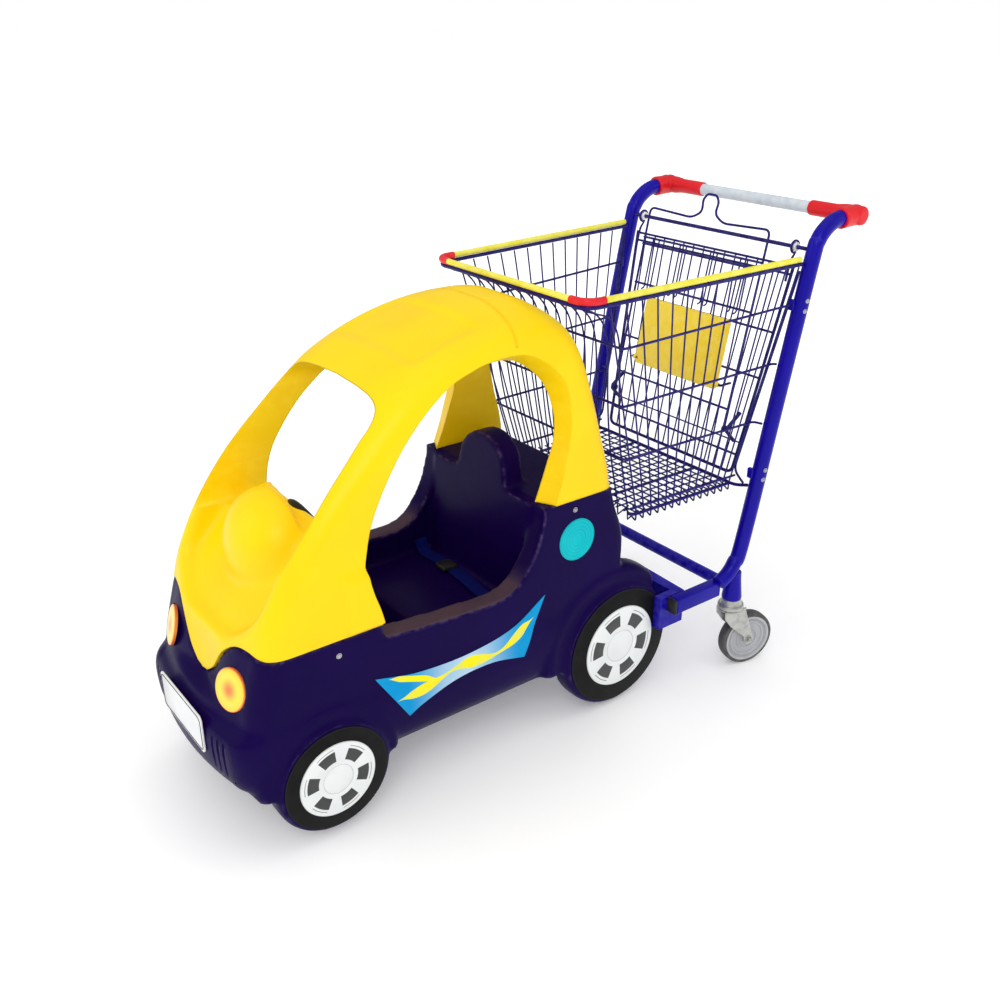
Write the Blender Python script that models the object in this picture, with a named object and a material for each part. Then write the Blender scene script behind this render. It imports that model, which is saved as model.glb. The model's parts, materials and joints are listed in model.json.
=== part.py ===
"""Shop trolley with a child's ride-in play car on its front.

Metres, +X forward (the car's nose), +Y to the left, +Z up. The origin is on the floor under the
middle of the trolley. A tubular push frame carries a wire basket with a hinged rear gate and a
folding child seat, and a moulded two-colour car body stands on a chassis in front of it.
"""

import math

import bmesh
import bpy
from mathutils import Matrix, Vector

# ---------------------------------------------------------------- driving dimensions
GAP = 0.0003                     # clearance between touching pieces
SIDES = {"left": 1, "right": -1}

# push frame
FRAME_HALF = 0.257               # upright centre line, from the middle
FRAME_X0 = -0.385                # where the uprights' line would meet the floor
FRAME_LEAN = -0.205              # x per metre of height
TUBE_R = 0.016
RAIL_WIDE = 0.025
RAIL_HIGH = 0.034
RAIL_Z = 0.209
RAIL_FRONT = -0.257
CROSS_BAR_R = 0.0125
CROSS_BAR_X = -0.417

# handle
HANDLE_X = -0.687
HANDLE_Z = 0.960
HANDLE_R = 0.0125
GRIP_R = 0.0155
GRIP_INNER = 0.150
HANDLE_END = 0.279

# basket
BASKET_FLOOR_Z = 0.420
RIM_Z_REAR = 0.879
RIM_Z_FRONT = 0.869
RIM_REAR_X = -0.5485
RIM_FRONT_X = -0.0065
FLOOR_REAR_X = -0.453
FLOOR_FRONT_X = -0.175
RIM_HALF_REAR = 0.250
RIM_HALF_FRONT = 0.228
FLOOR_HALF_REAR = 0.204
FLOOR_HALF_FRONT = 0.195
RIM_R = 0.004
COVER_R = 0.0055
THIN_WIRE = 0.0020
MID_WIRE = 0.0026
HEAVY_WIRE = 0.0036
ROW_HEIGHTS = ((0.556, 0.554), (0.679, 0.667), (0.800, 0.782))   # rear, front

# gate and folding child seat, both in planes parallel to the uprights
GATE_X0 = -0.380
HINGE_Z = 0.905
ROD_R = 0.004
BUSH_R = 0.0090
BUSH_Y = 0.214
GATE_TOP_Z = 0.868
GATE_FOOT_Z = 0.434
GATE_HALF_TOP = 0.222
GATE_HALF_FOOT = 0.190
SEAT_BACK_OFF = 0.030
SEAT_PIVOT_Z = 0.530
SEAT_BACK_HALF = 0.168
SEAT_LOOP_Z = 0.933
SEAT_HUMP_Z = 0.980
PANEL_OFF = 0.0300
PANEL_HINGE_Z = 0.612
PANEL_TOP_Z = 0.751
PANEL_HALF = 0.122
PANEL_THICK = 0.005

# rear swivel casters
CASTER_X = -0.431
CASTER_TRAIL = 0.046
CASTER_YAW = math.radians(-15.0)
CASTER_WHEEL_R = 0.0625
CASTER_TREAD = 0.008
CASTER_WHEEL_HALF = 0.0130
FORK_GAP = 0.0025
FORK_PLATE = 0.0025
SOCKET_FOOT_Z = 0.172

# fixed casters hidden under the nose
FRONT_CASTER_X = 0.470
FRONT_CASTER_Y = 0.118

# chassis under the car
CHASSIS_HALF = 0.118
CHASSIS_LOW = 0.150
CHASSIS_HIGH = 0.184
CHASSIS_REAR = -0.305
CHASSIS_FRONT = 0.500

# car body and canopy
DECK_Z = 0.500
BENCH_Z = 0.282
CAB_FLOOR_Z = 0.200
WHEEL_FACE_Y = 0.216
WHEELS = {"front": (0.521, 0.126, 0.100, 0.0735), "rear": (-0.138, 0.142, 0.127, 0.090)}
BOSS_MARGIN = 0.007
DISC_THICK = 0.002
LAMP_AT = (0.657, 0.127, 0.317)
LAMP_R = 0.038
PLATE_HALF = 0.090
PLATE_LOW = 0.183
PLATE_HIGH = 0.258
PLATE_X = 0.7010
STEER_AT = (0.428, 0.0, 0.495)
STEER_R = 0.072
STEER_TILT = math.radians(-64.0)
BACKREST_X = 0.095               # its front face, carried down to the floor
BACKREST_LEAN = -0.050           # x per metre of height
DASH_X = 0.484                   # the flat face behind the child's steering wheel
COWL_WALL = 0.025                # thickness of the wall between the child's knees and the hood
DOOR_FRONT = 0.405               # front edge of the door way where it meets the seam

# ---------------------------------------------------------------- scene and materials
for old in list(bpy.data.objects):
    bpy.data.objects.remove(old)

MODEL = bpy.data.collections.new("shop_trolley")
CUTTERS = bpy.data.collections.new("cutters")
for collection in (MODEL, CUTTERS):
    bpy.context.scene.collection.children.link(collection)


def material(name, colour, roughness, metallic=0.0):
    made = bpy.data.materials.new(name)
    made.use_nodes = True
    shader = made.node_tree.nodes["Principled BSDF"]
    shader.inputs["Base Color"].default_value = (*colour, 1.0)
    shader.inputs["Roughness"].default_value = roughness
    shader.inputs["Metallic"].default_value = metallic
    return made


FRAME_PAINT = material("frame_paint", (0.03, 0.01, 0.52), 0.30)
WIRE_PAINT = material("wire_paint", (0.02, 0.015, 0.16), 0.38)
HANDLE_PAINT = material("handle_paint", (0.62, 0.68, 0.74), 0.35)
RED_PLASTIC = material("red_plastic", (0.80, 0.02, 0.03), 0.35)
RIM_PLASTIC = material("rim_plastic", (0.85, 0.78, 0.12), 0.45)
WHITE_PLASTIC = material("white_plastic", (0.85, 0.86, 0.86), 0.40)
GALVANISED = material("galvanised_steel", (0.55, 0.56, 0.52), 0.42, 0.9)
GREY_PLASTIC = material("grey_plastic", (0.35, 0.36, 0.38), 0.50)
TREAD_RUBBER = material("tread_rubber", (0.05, 0.05, 0.05), 0.70)
BODY_PLASTIC = material("body_plastic", (0.017, 0.008, 0.11), 0.35)
CANOPY_PLASTIC = material("canopy_plastic", (1.0, 0.72, 0.01), 0.30)
SEAT_PLASTIC = material("seat_plastic", (1.0, 0.70, 0.02), 0.40)
LAMP_PLASTIC = material("lamp_plastic", (1.0, 0.48, 0.02), 0.30)
BLACK_PLASTIC = material("black_plastic", (0.012, 0.012, 0.011), 0.50)


# ---------------------------------------------------------------- modelling helpers
def lerp(a, b, t):
    return a + (b - a) * t


def add(name, mesh, paint=None, smooth=True, collection=None):
    """Link a mesh as an object, smooth-shaded with sharp corners kept."""
    item = bpy.data.objects.new(name, mesh)
    (collection or MODEL).objects.link(item)
    if paint:
        mesh.materials.clear()
        mesh.materials.append(paint)
    if smooth:
        mesh.shade_smooth()
        mesh.set_sharp_from_angle(angle=math.radians(35))
    return item


def baked(item, weld=0.00001):
    """The evaluated mesh of a curve or a modified object, welded; the object is removed."""
    bpy.context.view_layer.update()
    seen = item.evaluated_get(bpy.context.evaluated_depsgraph_get())
    mesh = bpy.data.meshes.new_from_object(seen)
    mesh.transform(item.matrix_world)
    work = bmesh.new()
    work.from_mesh(mesh)
    bmesh.ops.remove_doubles(work, verts=work.verts, dist=weld)
    bmesh.ops.recalc_face_normals(work, faces=work.faces)
    work.to_mesh(mesh)
    work.free()
    bpy.data.objects.remove(item)
    return mesh


def cutter(name, mesh):
    item = add(name, mesh, smooth=False, collection=CUTTERS)
    item.hide_render = True
    item.display_type = "WIRE"
    return item


def combine(item, other, operation, self_union=False):
    step = item.modifiers.new(operation.lower() + "_" + other.name, "BOOLEAN")
    step.operation = operation
    step.object = other
    step.use_self = self_union


def tube_curve(name, strands, sides=2):
    """A curve object whose strands are (radius, points) with round, capped sections."""
    unit = 0.001
    curve = bpy.data.curves.new(name, "CURVE")
    curve.dimensions = "3D"
    curve.bevel_depth = unit
    curve.bevel_resolution = sides
    curve.use_fill_caps = True
    for radius, points in strands:
        spline = curve.splines.new("POLY")
        spline.points.add(len(points) - 1)
        for place, point in zip(spline.points, points):
            place.co = (*point, 1.0)
            place.radius = radius / unit
    item = bpy.data.objects.new(name, curve)
    MODEL.objects.link(item)
    return item


def tube(name, points, radius, paint, sides=2):
    return add(name, baked(tube_curve(name, [(radius, points)], sides)), paint)


def welded_wires(name, strands, paint, sides=0):
    """Many wires welded into one body; the first strand is joined to all the others."""
    rest = baked(tube_curve(name, strands[1:], sides))
    first = baked(tube_curve(name + "_first", strands[:1], sides))
    item = add(name, rest, paint)
    combine(item, cutter(name + "_first_wire", first), "UNION", self_union=True)
    return item


def slab_mesh(outline, low, high, normal="Y"):
    """A flat outline in the other two axes, made solid from low to high along the normal."""
    curve = bpy.data.curves.new("outline", "CURVE")
    curve.dimensions = "2D"
    curve.fill_mode = "BOTH"
    curve.extrude = (high - low) / 2
    spline = curve.splines.new("POLY")
    spline.points.add(len(outline) - 1)
    spline.use_cyclic_u = True
    for place, (across, up) in zip(spline.points, outline):
        place.co = (across, up, 0.0, 1.0)
    item = bpy.data.objects.new("outline", curve)
    MODEL.objects.link(item)
    middle = (high + low) / 2
    turns = {
        "X": Matrix(((0, 0, 1, middle), (1, 0, 0, 0), (0, 1, 0, 0), (0, 0, 0, 1))),
        "Y": Matrix(((1, 0, 0, 0), (0, 0, -1, middle), (0, 1, 0, 0), (0, 0, 0, 1))),
        "Z": Matrix(((1, 0, 0, 0), (0, 1, 0, 0), (0, 0, 1, middle), (0, 0, 0, 1))),
    }
    item.matrix_world = turns[normal]
    return baked(item)


def box_mesh(low, high):
    work = bmesh.new()
    size = [b - a for a, b in zip(low, high)]
    middle = [(a + b) / 2 for a, b in zip(low, high)]
    bmesh.ops.create_cube(work, size=1.0)
    bmesh.ops.transform(work, verts=work.verts, matrix=Matrix.Diagonal((*size, 1.0)))
    bmesh.ops.translate(work, verts=work.verts, vec=middle)
    mesh = bpy.data.meshes.new("box")
    work.to_mesh(mesh)
    work.free()
    return mesh


def round_mesh(start, end, radius, end_radius=None, segments=32):
    """A cylinder or cone between two points."""
    a, b = Vector(start), Vector(end)
    work = bmesh.new()
    bmesh.ops.create_cone(
        work,
        cap_ends=True,
        segments=segments,
        radius1=radius,
        radius2=radius if end_radius is None else end_radius,
        depth=(b - a).length,
    )
    turn = (b - a).to_track_quat("Z", "Y").to_matrix().to_4x4()
    bmesh.ops.transform(work, verts=work.verts, matrix=Matrix.Translation((a + b) / 2) @ turn)
    mesh = bpy.data.meshes.new("round")
    work.to_mesh(mesh)
    work.free()
    return mesh


def ellipsoid_mesh(centre, radii):
    work = bmesh.new()
    bmesh.ops.create_uvsphere(work, u_segments=24, v_segments=14, radius=1.0)
    bmesh.ops.transform(work, verts=work.verts, matrix=Matrix.Diagonal((*radii, 1.0)))
    bmesh.ops.translate(work, verts=work.verts, vec=centre)
    mesh = bpy.data.meshes.new("ellipsoid")
    work.to_mesh(mesh)
    work.free()
    return mesh


def loft_mesh(loops):
    """A closed body through rings of equally many points, capped at both ends."""
    work = bmesh.new()
    rings = []
    for loop in loops:
        corners = [work.verts.new(point) for point in loop]
        rings.append([work.edges.new((a, b)) for a, b in zip(corners, corners[1:] + corners[:1])])
    for lower, upper in zip(rings, rings[1:]):
        bmesh.ops.bridge_loops(work, edges=lower + upper)
    bmesh.ops.holes_fill(work, edges=rings[0] + rings[-1], sides=0)
    bmesh.ops.recalc_face_normals(work, faces=work.faces)
    mesh = bpy.data.meshes.new("loft")
    work.to_mesh(mesh)
    work.free()
    return mesh


def smooth_path(points, per_span=4):
    """A rounded path through the points (Catmull-Rom)."""
    knots = [Vector(p) for p in points]
    knots = [2 * knots[0] - knots[1]] + knots + [2 * knots[-1] - knots[-2]]
    path = []
    for a, b, c, d in zip(knots, knots[1:], knots[2:], knots[3:]):
        for step in range(per_span):
            t = step / per_span
            path.append(
                0.5 * (2 * b + (c - a) * t + (2 * a - 5 * b + 4 * c - d) * t**2
                       + (3 * b - 3 * c + d - a) * t**3)
            )
    return path + [knots[-2]]


def ring_mesh(axis_from, axis_to, outer, inner, segments=32):
    """A plain ring: a disc with a bore, both round."""
    a, b = Vector(axis_from), Vector(axis_to)
    along = (b - a).normalized() * 0.01
    item = add("ring", round_mesh(a, b, outer, segments=segments), smooth=False)
    combine(item, cutter("bore", round_mesh(a - along, b + along, inner, segments=segments)),
            "DIFFERENCE")
    return baked(item)


def settled(item, paint):
    """The same object with its modifiers applied, so that it can be moved freely."""
    name = item.name
    item.name = name + "_raw"
    return add(name, baked(item), paint)


def on_axis(item, point):
    """Move an object's origin onto its joint axis without moving its shape."""
    item.data.transform(Matrix.Translation(-Vector(point)))
    item.location = point
    return item


# ---------------------------------------------------------------- push frame
def upright_x(z):
    return FRAME_X0 + FRAME_LEAN * z


def upright_path(side):
    """The bent tube's centre line, from its foot at the side rail up to the handle."""
    y = side * FRAME_HALF
    foot = [(-0.385, y, 0.222), (-0.410, y, 0.236), (-0.428, y, 0.258)]
    straight = [(upright_x(z), y, z) for z in (0.30, 0.60, 0.88)]
    bend = [(-0.579, y, 0.923), (-0.601, y, 0.945), (-0.629, y, 0.957), (-0.668, y, 0.959)]
    return smooth_path(foot + straight + bend, 2)


def upright(side_name, side):
    tube("upright_" + side_name, upright_path(side), TUBE_R, FRAME_PAINT)


def upright_room(name, side, past_foot=0.03):
    """A cutter that clears the upright and runs on past its foot and a little past its end."""
    path = upright_path(side)
    ahead = path[0] + (path[0] - path[1]).normalized() * past_foot
    behind = path[-1] + (path[-1] - path[-2]).normalized() * 2 * GAP
    return cutter(name, baked(tube_curve(name, [(TUBE_R + 2 * GAP, [ahead] + path + [behind])])))


def side_rail(side_name, side):
    half = RAIL_WIDE / 2
    middle = FRAME_HALF - 0.0075
    near, far = sorted((side * (middle - half), side * (middle + half)))
    low, high = RAIL_Z - RAIL_HIGH / 2, RAIL_Z + RAIL_HIGH / 2
    rail = add("side_rail_" + side_name, box_mesh((CROSS_BAR_X + 0.030, near, low),
                                                  (RAIL_FRONT, far, high)), FRAME_PAINT)
    combine(rail, upright_room("rail_room_" + side_name, side), "DIFFERENCE")
    plug = box_mesh((RAIL_FRONT + GAP, near, low), (RAIL_FRONT + 0.006, far, high))
    add("rail_plug_" + side_name, plug, BLACK_PLASTIC)


def caster_socket(side_name, side):
    """A tapered socket welded under the foot of the upright."""
    y = side * FRAME_HALF
    foot = (CASTER_X, y, SOCKET_FOOT_Z)
    socket = add("caster_socket_" + side_name,
                 round_mesh(foot, (CASTER_X, y, 0.245), 0.0215, 0.0150, 20), FRAME_PAINT)
    combine(socket, upright_room("socket_room_" + side_name, side), "DIFFERENCE")


def cross_bar():
    end = FRAME_HALF - 0.0275
    tube("rear_cross_bar", [(CROSS_BAR_X, -end, 0.206), (CROSS_BAR_X, end, 0.206)],
         CROSS_BAR_R, FRAME_PAINT)


def handle():
    bar = FRAME_HALF - TUBE_R - 0.003
    tube("handle_tube", [(HANDLE_X, -bar, HANDLE_Z), (HANDLE_X, bar, HANDLE_Z)],
         HANDLE_R, HANDLE_PAINT, 4)
    for side_name, side in SIDES.items():
        handle_end(side_name, side)


def handle_end(side_name, side):
    """A moulded elbow over the upright's end with a sleeve along the handle."""
    y = side * FRAME_HALF
    sleeve = round_mesh((HANDLE_X, side * GRIP_INNER, HANDLE_Z), (HANDLE_X, side * HANDLE_END, HANDLE_Z),
                        GRIP_R, 0.0190, 20)
    end = add("handle_end_" + side_name, sleeve, RED_PLASTIC)
    nose = round_mesh((HANDLE_X - 0.004, y, HANDLE_Z), (-0.640, y, 0.9585), 0.0208, 0.0212, 20)
    combine(end, cutter("elbow_" + side_name, nose), "UNION")
    bar = FRAME_HALF - TUBE_R - 0.003 + GAP
    bore = round_mesh((HANDLE_X, side * 0.10, HANDLE_Z), (HANDLE_X, side * bar, HANDLE_Z),
                      HANDLE_R + GAP, segments=20)
    combine(end, cutter("grip_bore_" + side_name, bore), "DIFFERENCE")
    combine(end, upright_room("elbow_room_" + side_name, side), "DIFFERENCE")


# ---------------------------------------------------------------- basket
FRONT_PROFILE = smooth_path([(FLOOR_FRONT_X, 0, BASKET_FLOOR_Z), (-0.138, 0, 0.554),
                             (-0.118, 0, 0.667), (-0.104, 0, 0.782), (-0.074, 0, 0.838),
                             (RIM_FRONT_X, 0, RIM_Z_FRONT)], 2)


def front_x(z):
    """How far forward the basket's front wall is at a height."""
    for a, b in zip(FRONT_PROFILE, FRONT_PROFILE[1:]):
        if a.z <= z <= b.z:
            return lerp(a.x, b.x, (z - a.z) / (b.z - a.z))
    return RIM_FRONT_X


def rise(z):
    return (z - BASKET_FLOOR_Z) / (RIM_Z_REAR - BASKET_FLOOR_Z)


def wall_half(along, z):
    """Half width of the basket, along is 0 at the rear and 1 at the front."""
    floor = lerp(FLOOR_HALF_REAR, FLOOR_HALF_FRONT, along)
    rim = lerp(RIM_HALF_REAR, RIM_HALF_FRONT, along)
    return lerp(floor, rim, rise(z))


def rear_x(z):
    return lerp(FLOOR_REAR_X, RIM_REAR_X, rise(z))


def basket_side(side_name, side):
    top_rear, top_front = RIM_Z_REAR - RIM_R - THIN_WIRE, RIM_Z_FRONT - RIM_R - THIN_WIRE
    low = BASKET_FLOOR_Z + HEAVY_WIRE + THIN_WIRE
    strands = []
    for rear_z, front_z in ROW_HEIGHTS:
        strands.append((MID_WIRE, [
            (rear_x(rear_z) - 0.002, side * (wall_half(0, rear_z) + 0.003), rear_z),
            (front_x(front_z) - 0.012, side * (wall_half(1, front_z) + 0.003), front_z),
        ]))
    count = 10
    for step in range(count + 1):
        along = step / count
        radius = MID_WIRE if step == 0 else THIN_WIRE
        top = lerp(top_rear, top_front, along)
        foot = (lerp(FLOOR_REAR_X + 0.004, FLOOR_FRONT_X - 0.010, along), side * wall_half(along, low), low)
        head = (lerp(RIM_REAR_X + 0.004, -0.088, along), side * wall_half(along, top), top)
        strands.append((radius, [foot, head]))
    for z, radius in ((low + 0.004, THIN_WIRE), (top_front - 0.003, THIN_WIRE)):
        last = FLOOR_FRONT_X - 0.008 if z < 0.6 else -0.086
        strands.append((radius, [
            (rear_x(z) + 0.001, side * (wall_half(0, z) + 0.0024), z),
            (last, side * (wall_half(0.93, z) + 0.0024), z),
        ]))
    welded_wires("basket_side_" + side_name, strands, WIRE_PAINT)


def basket_front():
    low = BASKET_FLOOR_Z + HEAVY_WIRE + THIN_WIRE
    strands = []
    for _, z in ROW_HEIGHTS:
        half = wall_half(1, z) - 0.004
        strands.append((MID_WIRE, [(front_x(z) + 0.003, -half, z), (front_x(z) + 0.003, half, z)]))
    profile = [p for p in FRONT_PROFILE if low < p.z < RIM_Z_FRONT - 0.006]
    profile = [Vector((front_x(low), 0, low))] + profile
    count = 9
    for step in range(count):
        spread = lerp(-1, 1, step / (count - 1))
        path = [(p.x, spread * (wall_half(1, p.z) - 0.012), p.z) for p in profile[::2]]
        path.append((RIM_FRONT_X - 0.008, spread * (RIM_HALF_FRONT - 0.016), RIM_Z_FRONT - 0.012))
        strands.append((THIN_WIRE, path))
    welded_wires("basket_front", strands, WIRE_PAINT)


def basket_floor():
    z = BASKET_FLOOR_Z
    rear = [(FLOOR_REAR_X, -FLOOR_HALF_REAR, z), (FLOOR_REAR_X, FLOOR_HALF_REAR, z)]
    front = [(FLOOR_FRONT_X, -FLOOR_HALF_FRONT, z), (FLOOR_FRONT_X, FLOOR_HALF_FRONT, z)]
    strands = [(HEAVY_WIRE, rear), (HEAVY_WIRE, front)]
    for side in (0, 1):
        strands.append((HEAVY_WIRE, [(rear[side][0] - 0.002, rear[side][1], z - 0.001),
                                     (front[side][0] + 0.002, front[side][1], z - 0.001)]))
    for step in range(1, 8):
        spread = lerp(-1, 1, step / 8)
        strands.append((THIN_WIRE, [(FLOOR_REAR_X, spread * FLOOR_HALF_REAR, z),
                                    (FLOOR_FRONT_X, spread * FLOOR_HALF_FRONT, z)]))
    for step in range(1, 8):
        x = lerp(FLOOR_REAR_X, FLOOR_FRONT_X, step / 8)
        half = lerp(FLOOR_HALF_REAR, FLOOR_HALF_FRONT, step / 8)
        strands.append((THIN_WIRE, [(x, -half, z - 0.0025), (x, half, z - 0.0025)]))
    welded_wires("basket_floor", strands, WIRE_PAINT)


def rim_path(lift=0.0, grow=0.0):
    """The rim's U in three stretches: left side, front bend points and right side."""
    corner = 0.030
    half = RIM_HALF_FRONT + grow
    front = RIM_FRONT_X + grow
    left_bend = [(front - corner + corner * math.sin(a), half - corner + corner * math.cos(a),
                  RIM_Z_FRONT + lift) for a in (0, math.pi / 8, math.pi / 4, 3 * math.pi / 8, math.pi / 2)]
    rear = (RIM_REAR_X, RIM_HALF_REAR + grow, RIM_Z_REAR + lift)
    return rear, left_bend


def mirrored(points):
    return [(x, -y, z) for x, y, z in points]


def rim():
    rear, bend = rim_path()
    path = [rear] + bend + mirrored(bend)[::-1] + mirrored([rear])
    tube("rim_wire", path, RIM_R, WIRE_PAINT)
    rear, bend = rim_path(lift=RIM_R + COVER_R + 3 * GAP)
    first, last = Vector(bend[0]), Vector(rear)
    start = first.lerp(last, 0.02)
    end = first.lerp(last, 0.985)
    for side_name, side in SIDES.items():
        turn = (lambda points: points) if side > 0 else mirrored
        tube("rim_cover_" + side_name, turn([tuple(start), tuple(end)]), COVER_R, RIM_PLASTIC)
        corner = [tuple(first.lerp(last, 0.018))] + bend + [(bend[-1][0], bend[-1][1] - 0.012, bend[-1][2])]
        tube("rim_corner_" + side_name, turn(corner), COVER_R + GAP, RED_PLASTIC)
    half = bend[-1][1] - 0.0125
    tube("rim_cover_front", [(bend[-1][0], -half, bend[-1][2]), (bend[-1][0], half, bend[-1][2])],
         COVER_R, RIM_PLASTIC)


# ---------------------------------------------------------------- gate and child seat
def in_gate(y, z, off=0.0):
    return (GATE_X0 + FRAME_LEAN * z + off, y, z)


def hinge_rod():
    end = FRAME_HALF - TUBE_R - 0.001
    rod = tube("hinge_rod", [in_gate(-end, HINGE_Z), in_gate(end, HINGE_Z)], ROD_R, WIRE_PAINT)
    for side_name, side in SIDES.items():
        inner, outer = sorted((side * (BUSH_Y - 0.006), side * (BUSH_Y + 0.006)))
        ring = ring_mesh(in_gate(inner, HINGE_Z), in_gate(outer, HINGE_Z), BUSH_R, ROD_R + GAP, 20)
        add("hinge_bush_" + side_name, ring, WHITE_PLASTIC)
    return rod


def gate_hook(side):
    """A wire hook from the gate's top wire over the bush."""
    axis = Vector(in_gate(0, HINGE_Z))
    radius = BUSH_R + GAP + MID_WIRE
    y = side * BUSH_Y
    arc = []
    for step in range(11):
        angle = math.radians(lerp(-115, 150, step / 10))
        arc.append((axis.x + radius * math.cos(angle), y, axis.z + radius * math.sin(angle)))
    return [in_gate(y, GATE_TOP_Z - 0.004, 0.001), in_gate(y, GATE_TOP_Z + 0.012, 0.001)] + arc


def gate_half(z):
    return lerp(GATE_HALF_FOOT, GATE_HALF_TOP, (z - GATE_FOOT_Z) / (GATE_TOP_Z - GATE_FOOT_Z))


def gate_panel():
    strands = [
        (HEAVY_WIRE, [in_gate(-GATE_HALF_FOOT, GATE_FOOT_Z), in_gate(GATE_HALF_FOOT, GATE_FOOT_Z)]),
        (MID_WIRE, [in_gate(-GATE_HALF_TOP, GATE_TOP_Z), in_gate(GATE_HALF_TOP, GATE_TOP_Z)]),
    ]
    for side in (1, -1):
        strands.append((HEAVY_WIRE, [in_gate(side * GATE_HALF_FOOT, GATE_FOOT_Z - 0.002, 0.001),
                                     in_gate(side * GATE_HALF_TOP, GATE_TOP_Z + 0.002, 0.001)]))
        strands.append((MID_WIRE, gate_hook(side)))
        lug = side * (SEAT_BACK_HALF + 0.010)
        strands.append((0.0040, [in_gate(lug, SEAT_PIVOT_Z, -0.004),
                                 in_gate(lug, SEAT_PIVOT_Z, SEAT_BACK_OFF)]))
        strands.append((0.0028, [in_gate(lug, SEAT_PIVOT_Z, SEAT_BACK_OFF),
                                 in_gate(side * (SEAT_BACK_HALF - 0.004), SEAT_PIVOT_Z, SEAT_BACK_OFF)]))
        pin = side * (PANEL_HALF + 0.012)
        strands.append((0.0030, [in_gate(pin, PANEL_HINGE_Z, -0.003),
                                 in_gate(pin, PANEL_HINGE_Z, PANEL_OFF)]))
        strands.append((0.0020, [in_gate(pin, PANEL_HINGE_Z, PANEL_OFF),
                                 in_gate(side * (PANEL_HALF - 0.008), PANEL_HINGE_Z, PANEL_OFF)]))
    for z in (0.474, SEAT_PIVOT_Z, PANEL_HINGE_Z, 0.735, 0.845):
        half = gate_half(z)
        strands.append((THIN_WIRE, [in_gate(-half, z, -0.001), in_gate(half, z, -0.001)]))
    count = 11
    for step in range(1, count):
        spread = lerp(-1, 1, step / count)
        strands.append((THIN_WIRE, [in_gate(spread * GATE_HALF_FOOT, GATE_FOOT_Z, 0.0014),
                                    in_gate(spread * GATE_HALF_TOP, GATE_TOP_Z, 0.0014)]))
    gate = welded_wires("gate_panel", strands, WIRE_PAINT)
    on_axis(gate, in_gate(0, HINGE_Z))


def in_seat(y, z, off=0.0):
    return in_gate(y, z, SEAT_BACK_OFF + off)


def seat_back():
    """A wire back whose bow rises into a hand loop; it frames the flap and turns on two lugs of the gate."""
    half, hump = SEAT_BACK_HALF, 0.024
    eye_r = 0.0028 + GAP + MID_WIRE
    loop = [(half, SEAT_PIVOT_Z + eye_r), (half, SEAT_LOOP_Z - 0.010), (half - 0.010, SEAT_LOOP_Z),
            (hump + 0.020, SEAT_LOOP_Z - 0.004), (hump, SEAT_LOOP_Z + 0.012),
            (hump, SEAT_HUMP_Z - 0.016), (hump * 0.5, SEAT_HUMP_Z)]
    left = [in_seat(y, z) for y, z in loop]
    strands = [(MID_WIRE, left + mirrored(left)[::-1])]
    for side in (1, -1):
        axis = Vector(in_seat(0, SEAT_PIVOT_Z))
        eye = []
        for step in range(9):
            angle = math.radians(lerp(80, 380, step / 8))
            eye.append((axis.x + eye_r * math.cos(angle), side * half, axis.z + eye_r * math.sin(angle)))
        strands.append((MID_WIRE, eye))
    for z in (0.572, 0.772, 0.865):
        strands.append((MID_WIRE, [in_seat(-half, z, 0.001), in_seat(half, z, 0.001)]))
    for y in (-0.118, -0.070, -0.014, 0.014, 0.070, 0.118):
        strands.append((THIN_WIRE, [in_seat(y, 0.772, 0.0022), in_seat(y, 0.865, 0.0022)]))
    frame = welded_wires("seat_back_frame", strands, WIRE_PAINT)
    on_axis(frame, in_seat(0, SEAT_PIVOT_Z))


def seat_panel():
    """A moulded flap that drops to make the seat, turning on pins of the gate."""
    low, high = PANEL_HINGE_Z - 0.010, PANEL_TOP_Z
    outline = [(-PANEL_HALF, low + 0.004), (-PANEL_HALF + 0.006, low), (PANEL_HALF - 0.006, low),
               (PANEL_HALF, low + 0.004), (PANEL_HALF, high - 0.010), (PANEL_HALF - 0.010, high),
               (-PANEL_HALF + 0.010, high), (-PANEL_HALF, high - 0.010)]
    upright_z = [(y, z - PANEL_HINGE_Z) for y, z in outline]
    mesh = slab_mesh(upright_z, -PANEL_THICK / 2, PANEL_THICK / 2, "X")
    panel = add("seat_panel", mesh, SEAT_PLASTIC)
    for side in (1, -1):
        pin_room = round_mesh((0, side * (PANEL_HALF - 0.009), 0), (0, side * (PANEL_HALF + 0.02), 0),
                              0.0020 + 0.0004, segments=12)
        combine(panel, cutter("panel_pin_room", pin_room), "DIFFERENCE")
    panel = settled(panel, SEAT_PLASTIC)
    panel.location = in_gate(0, PANEL_HINGE_Z, PANEL_OFF)
    panel.rotation_euler = (0, math.atan(FRAME_LEAN), 0)


# ---------------------------------------------------------------- casters
def wheel_and_tyre(name_wheel, name_tyre, centre, axle_r):
    """A wheel turned about local Y with a bore, and a separate tread ring."""
    hub_r = CASTER_WHEEL_R - CASTER_TREAD
    half = CASTER_WHEEL_HALF
    hub = ring_mesh((0, -half, 0), (0, half, 0), hub_r - GAP, axle_r + GAP, 24)
    wheel = add(name_wheel, hub, GREY_PLASTIC)
    for side in (1, -1):
        dish = ring_mesh((0, side * (half - 0.0035), 0), (0, side * (half + 0.004), 0),
                         hub_r - 0.007, 0.016, 24)
        combine(wheel, cutter("dish", dish), "DIFFERENCE")
    wheel = settled(wheel, GREY_PLASTIC)
    tread = ring_mesh((0, -half, 0), (0, half, 0), CASTER_WHEEL_R, hub_r, 32)
    tyre = add(name_tyre, tread, TREAD_RUBBER)
    for item in (wheel, tyre):
        item.location = centre
    return wheel, tyre


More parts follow.
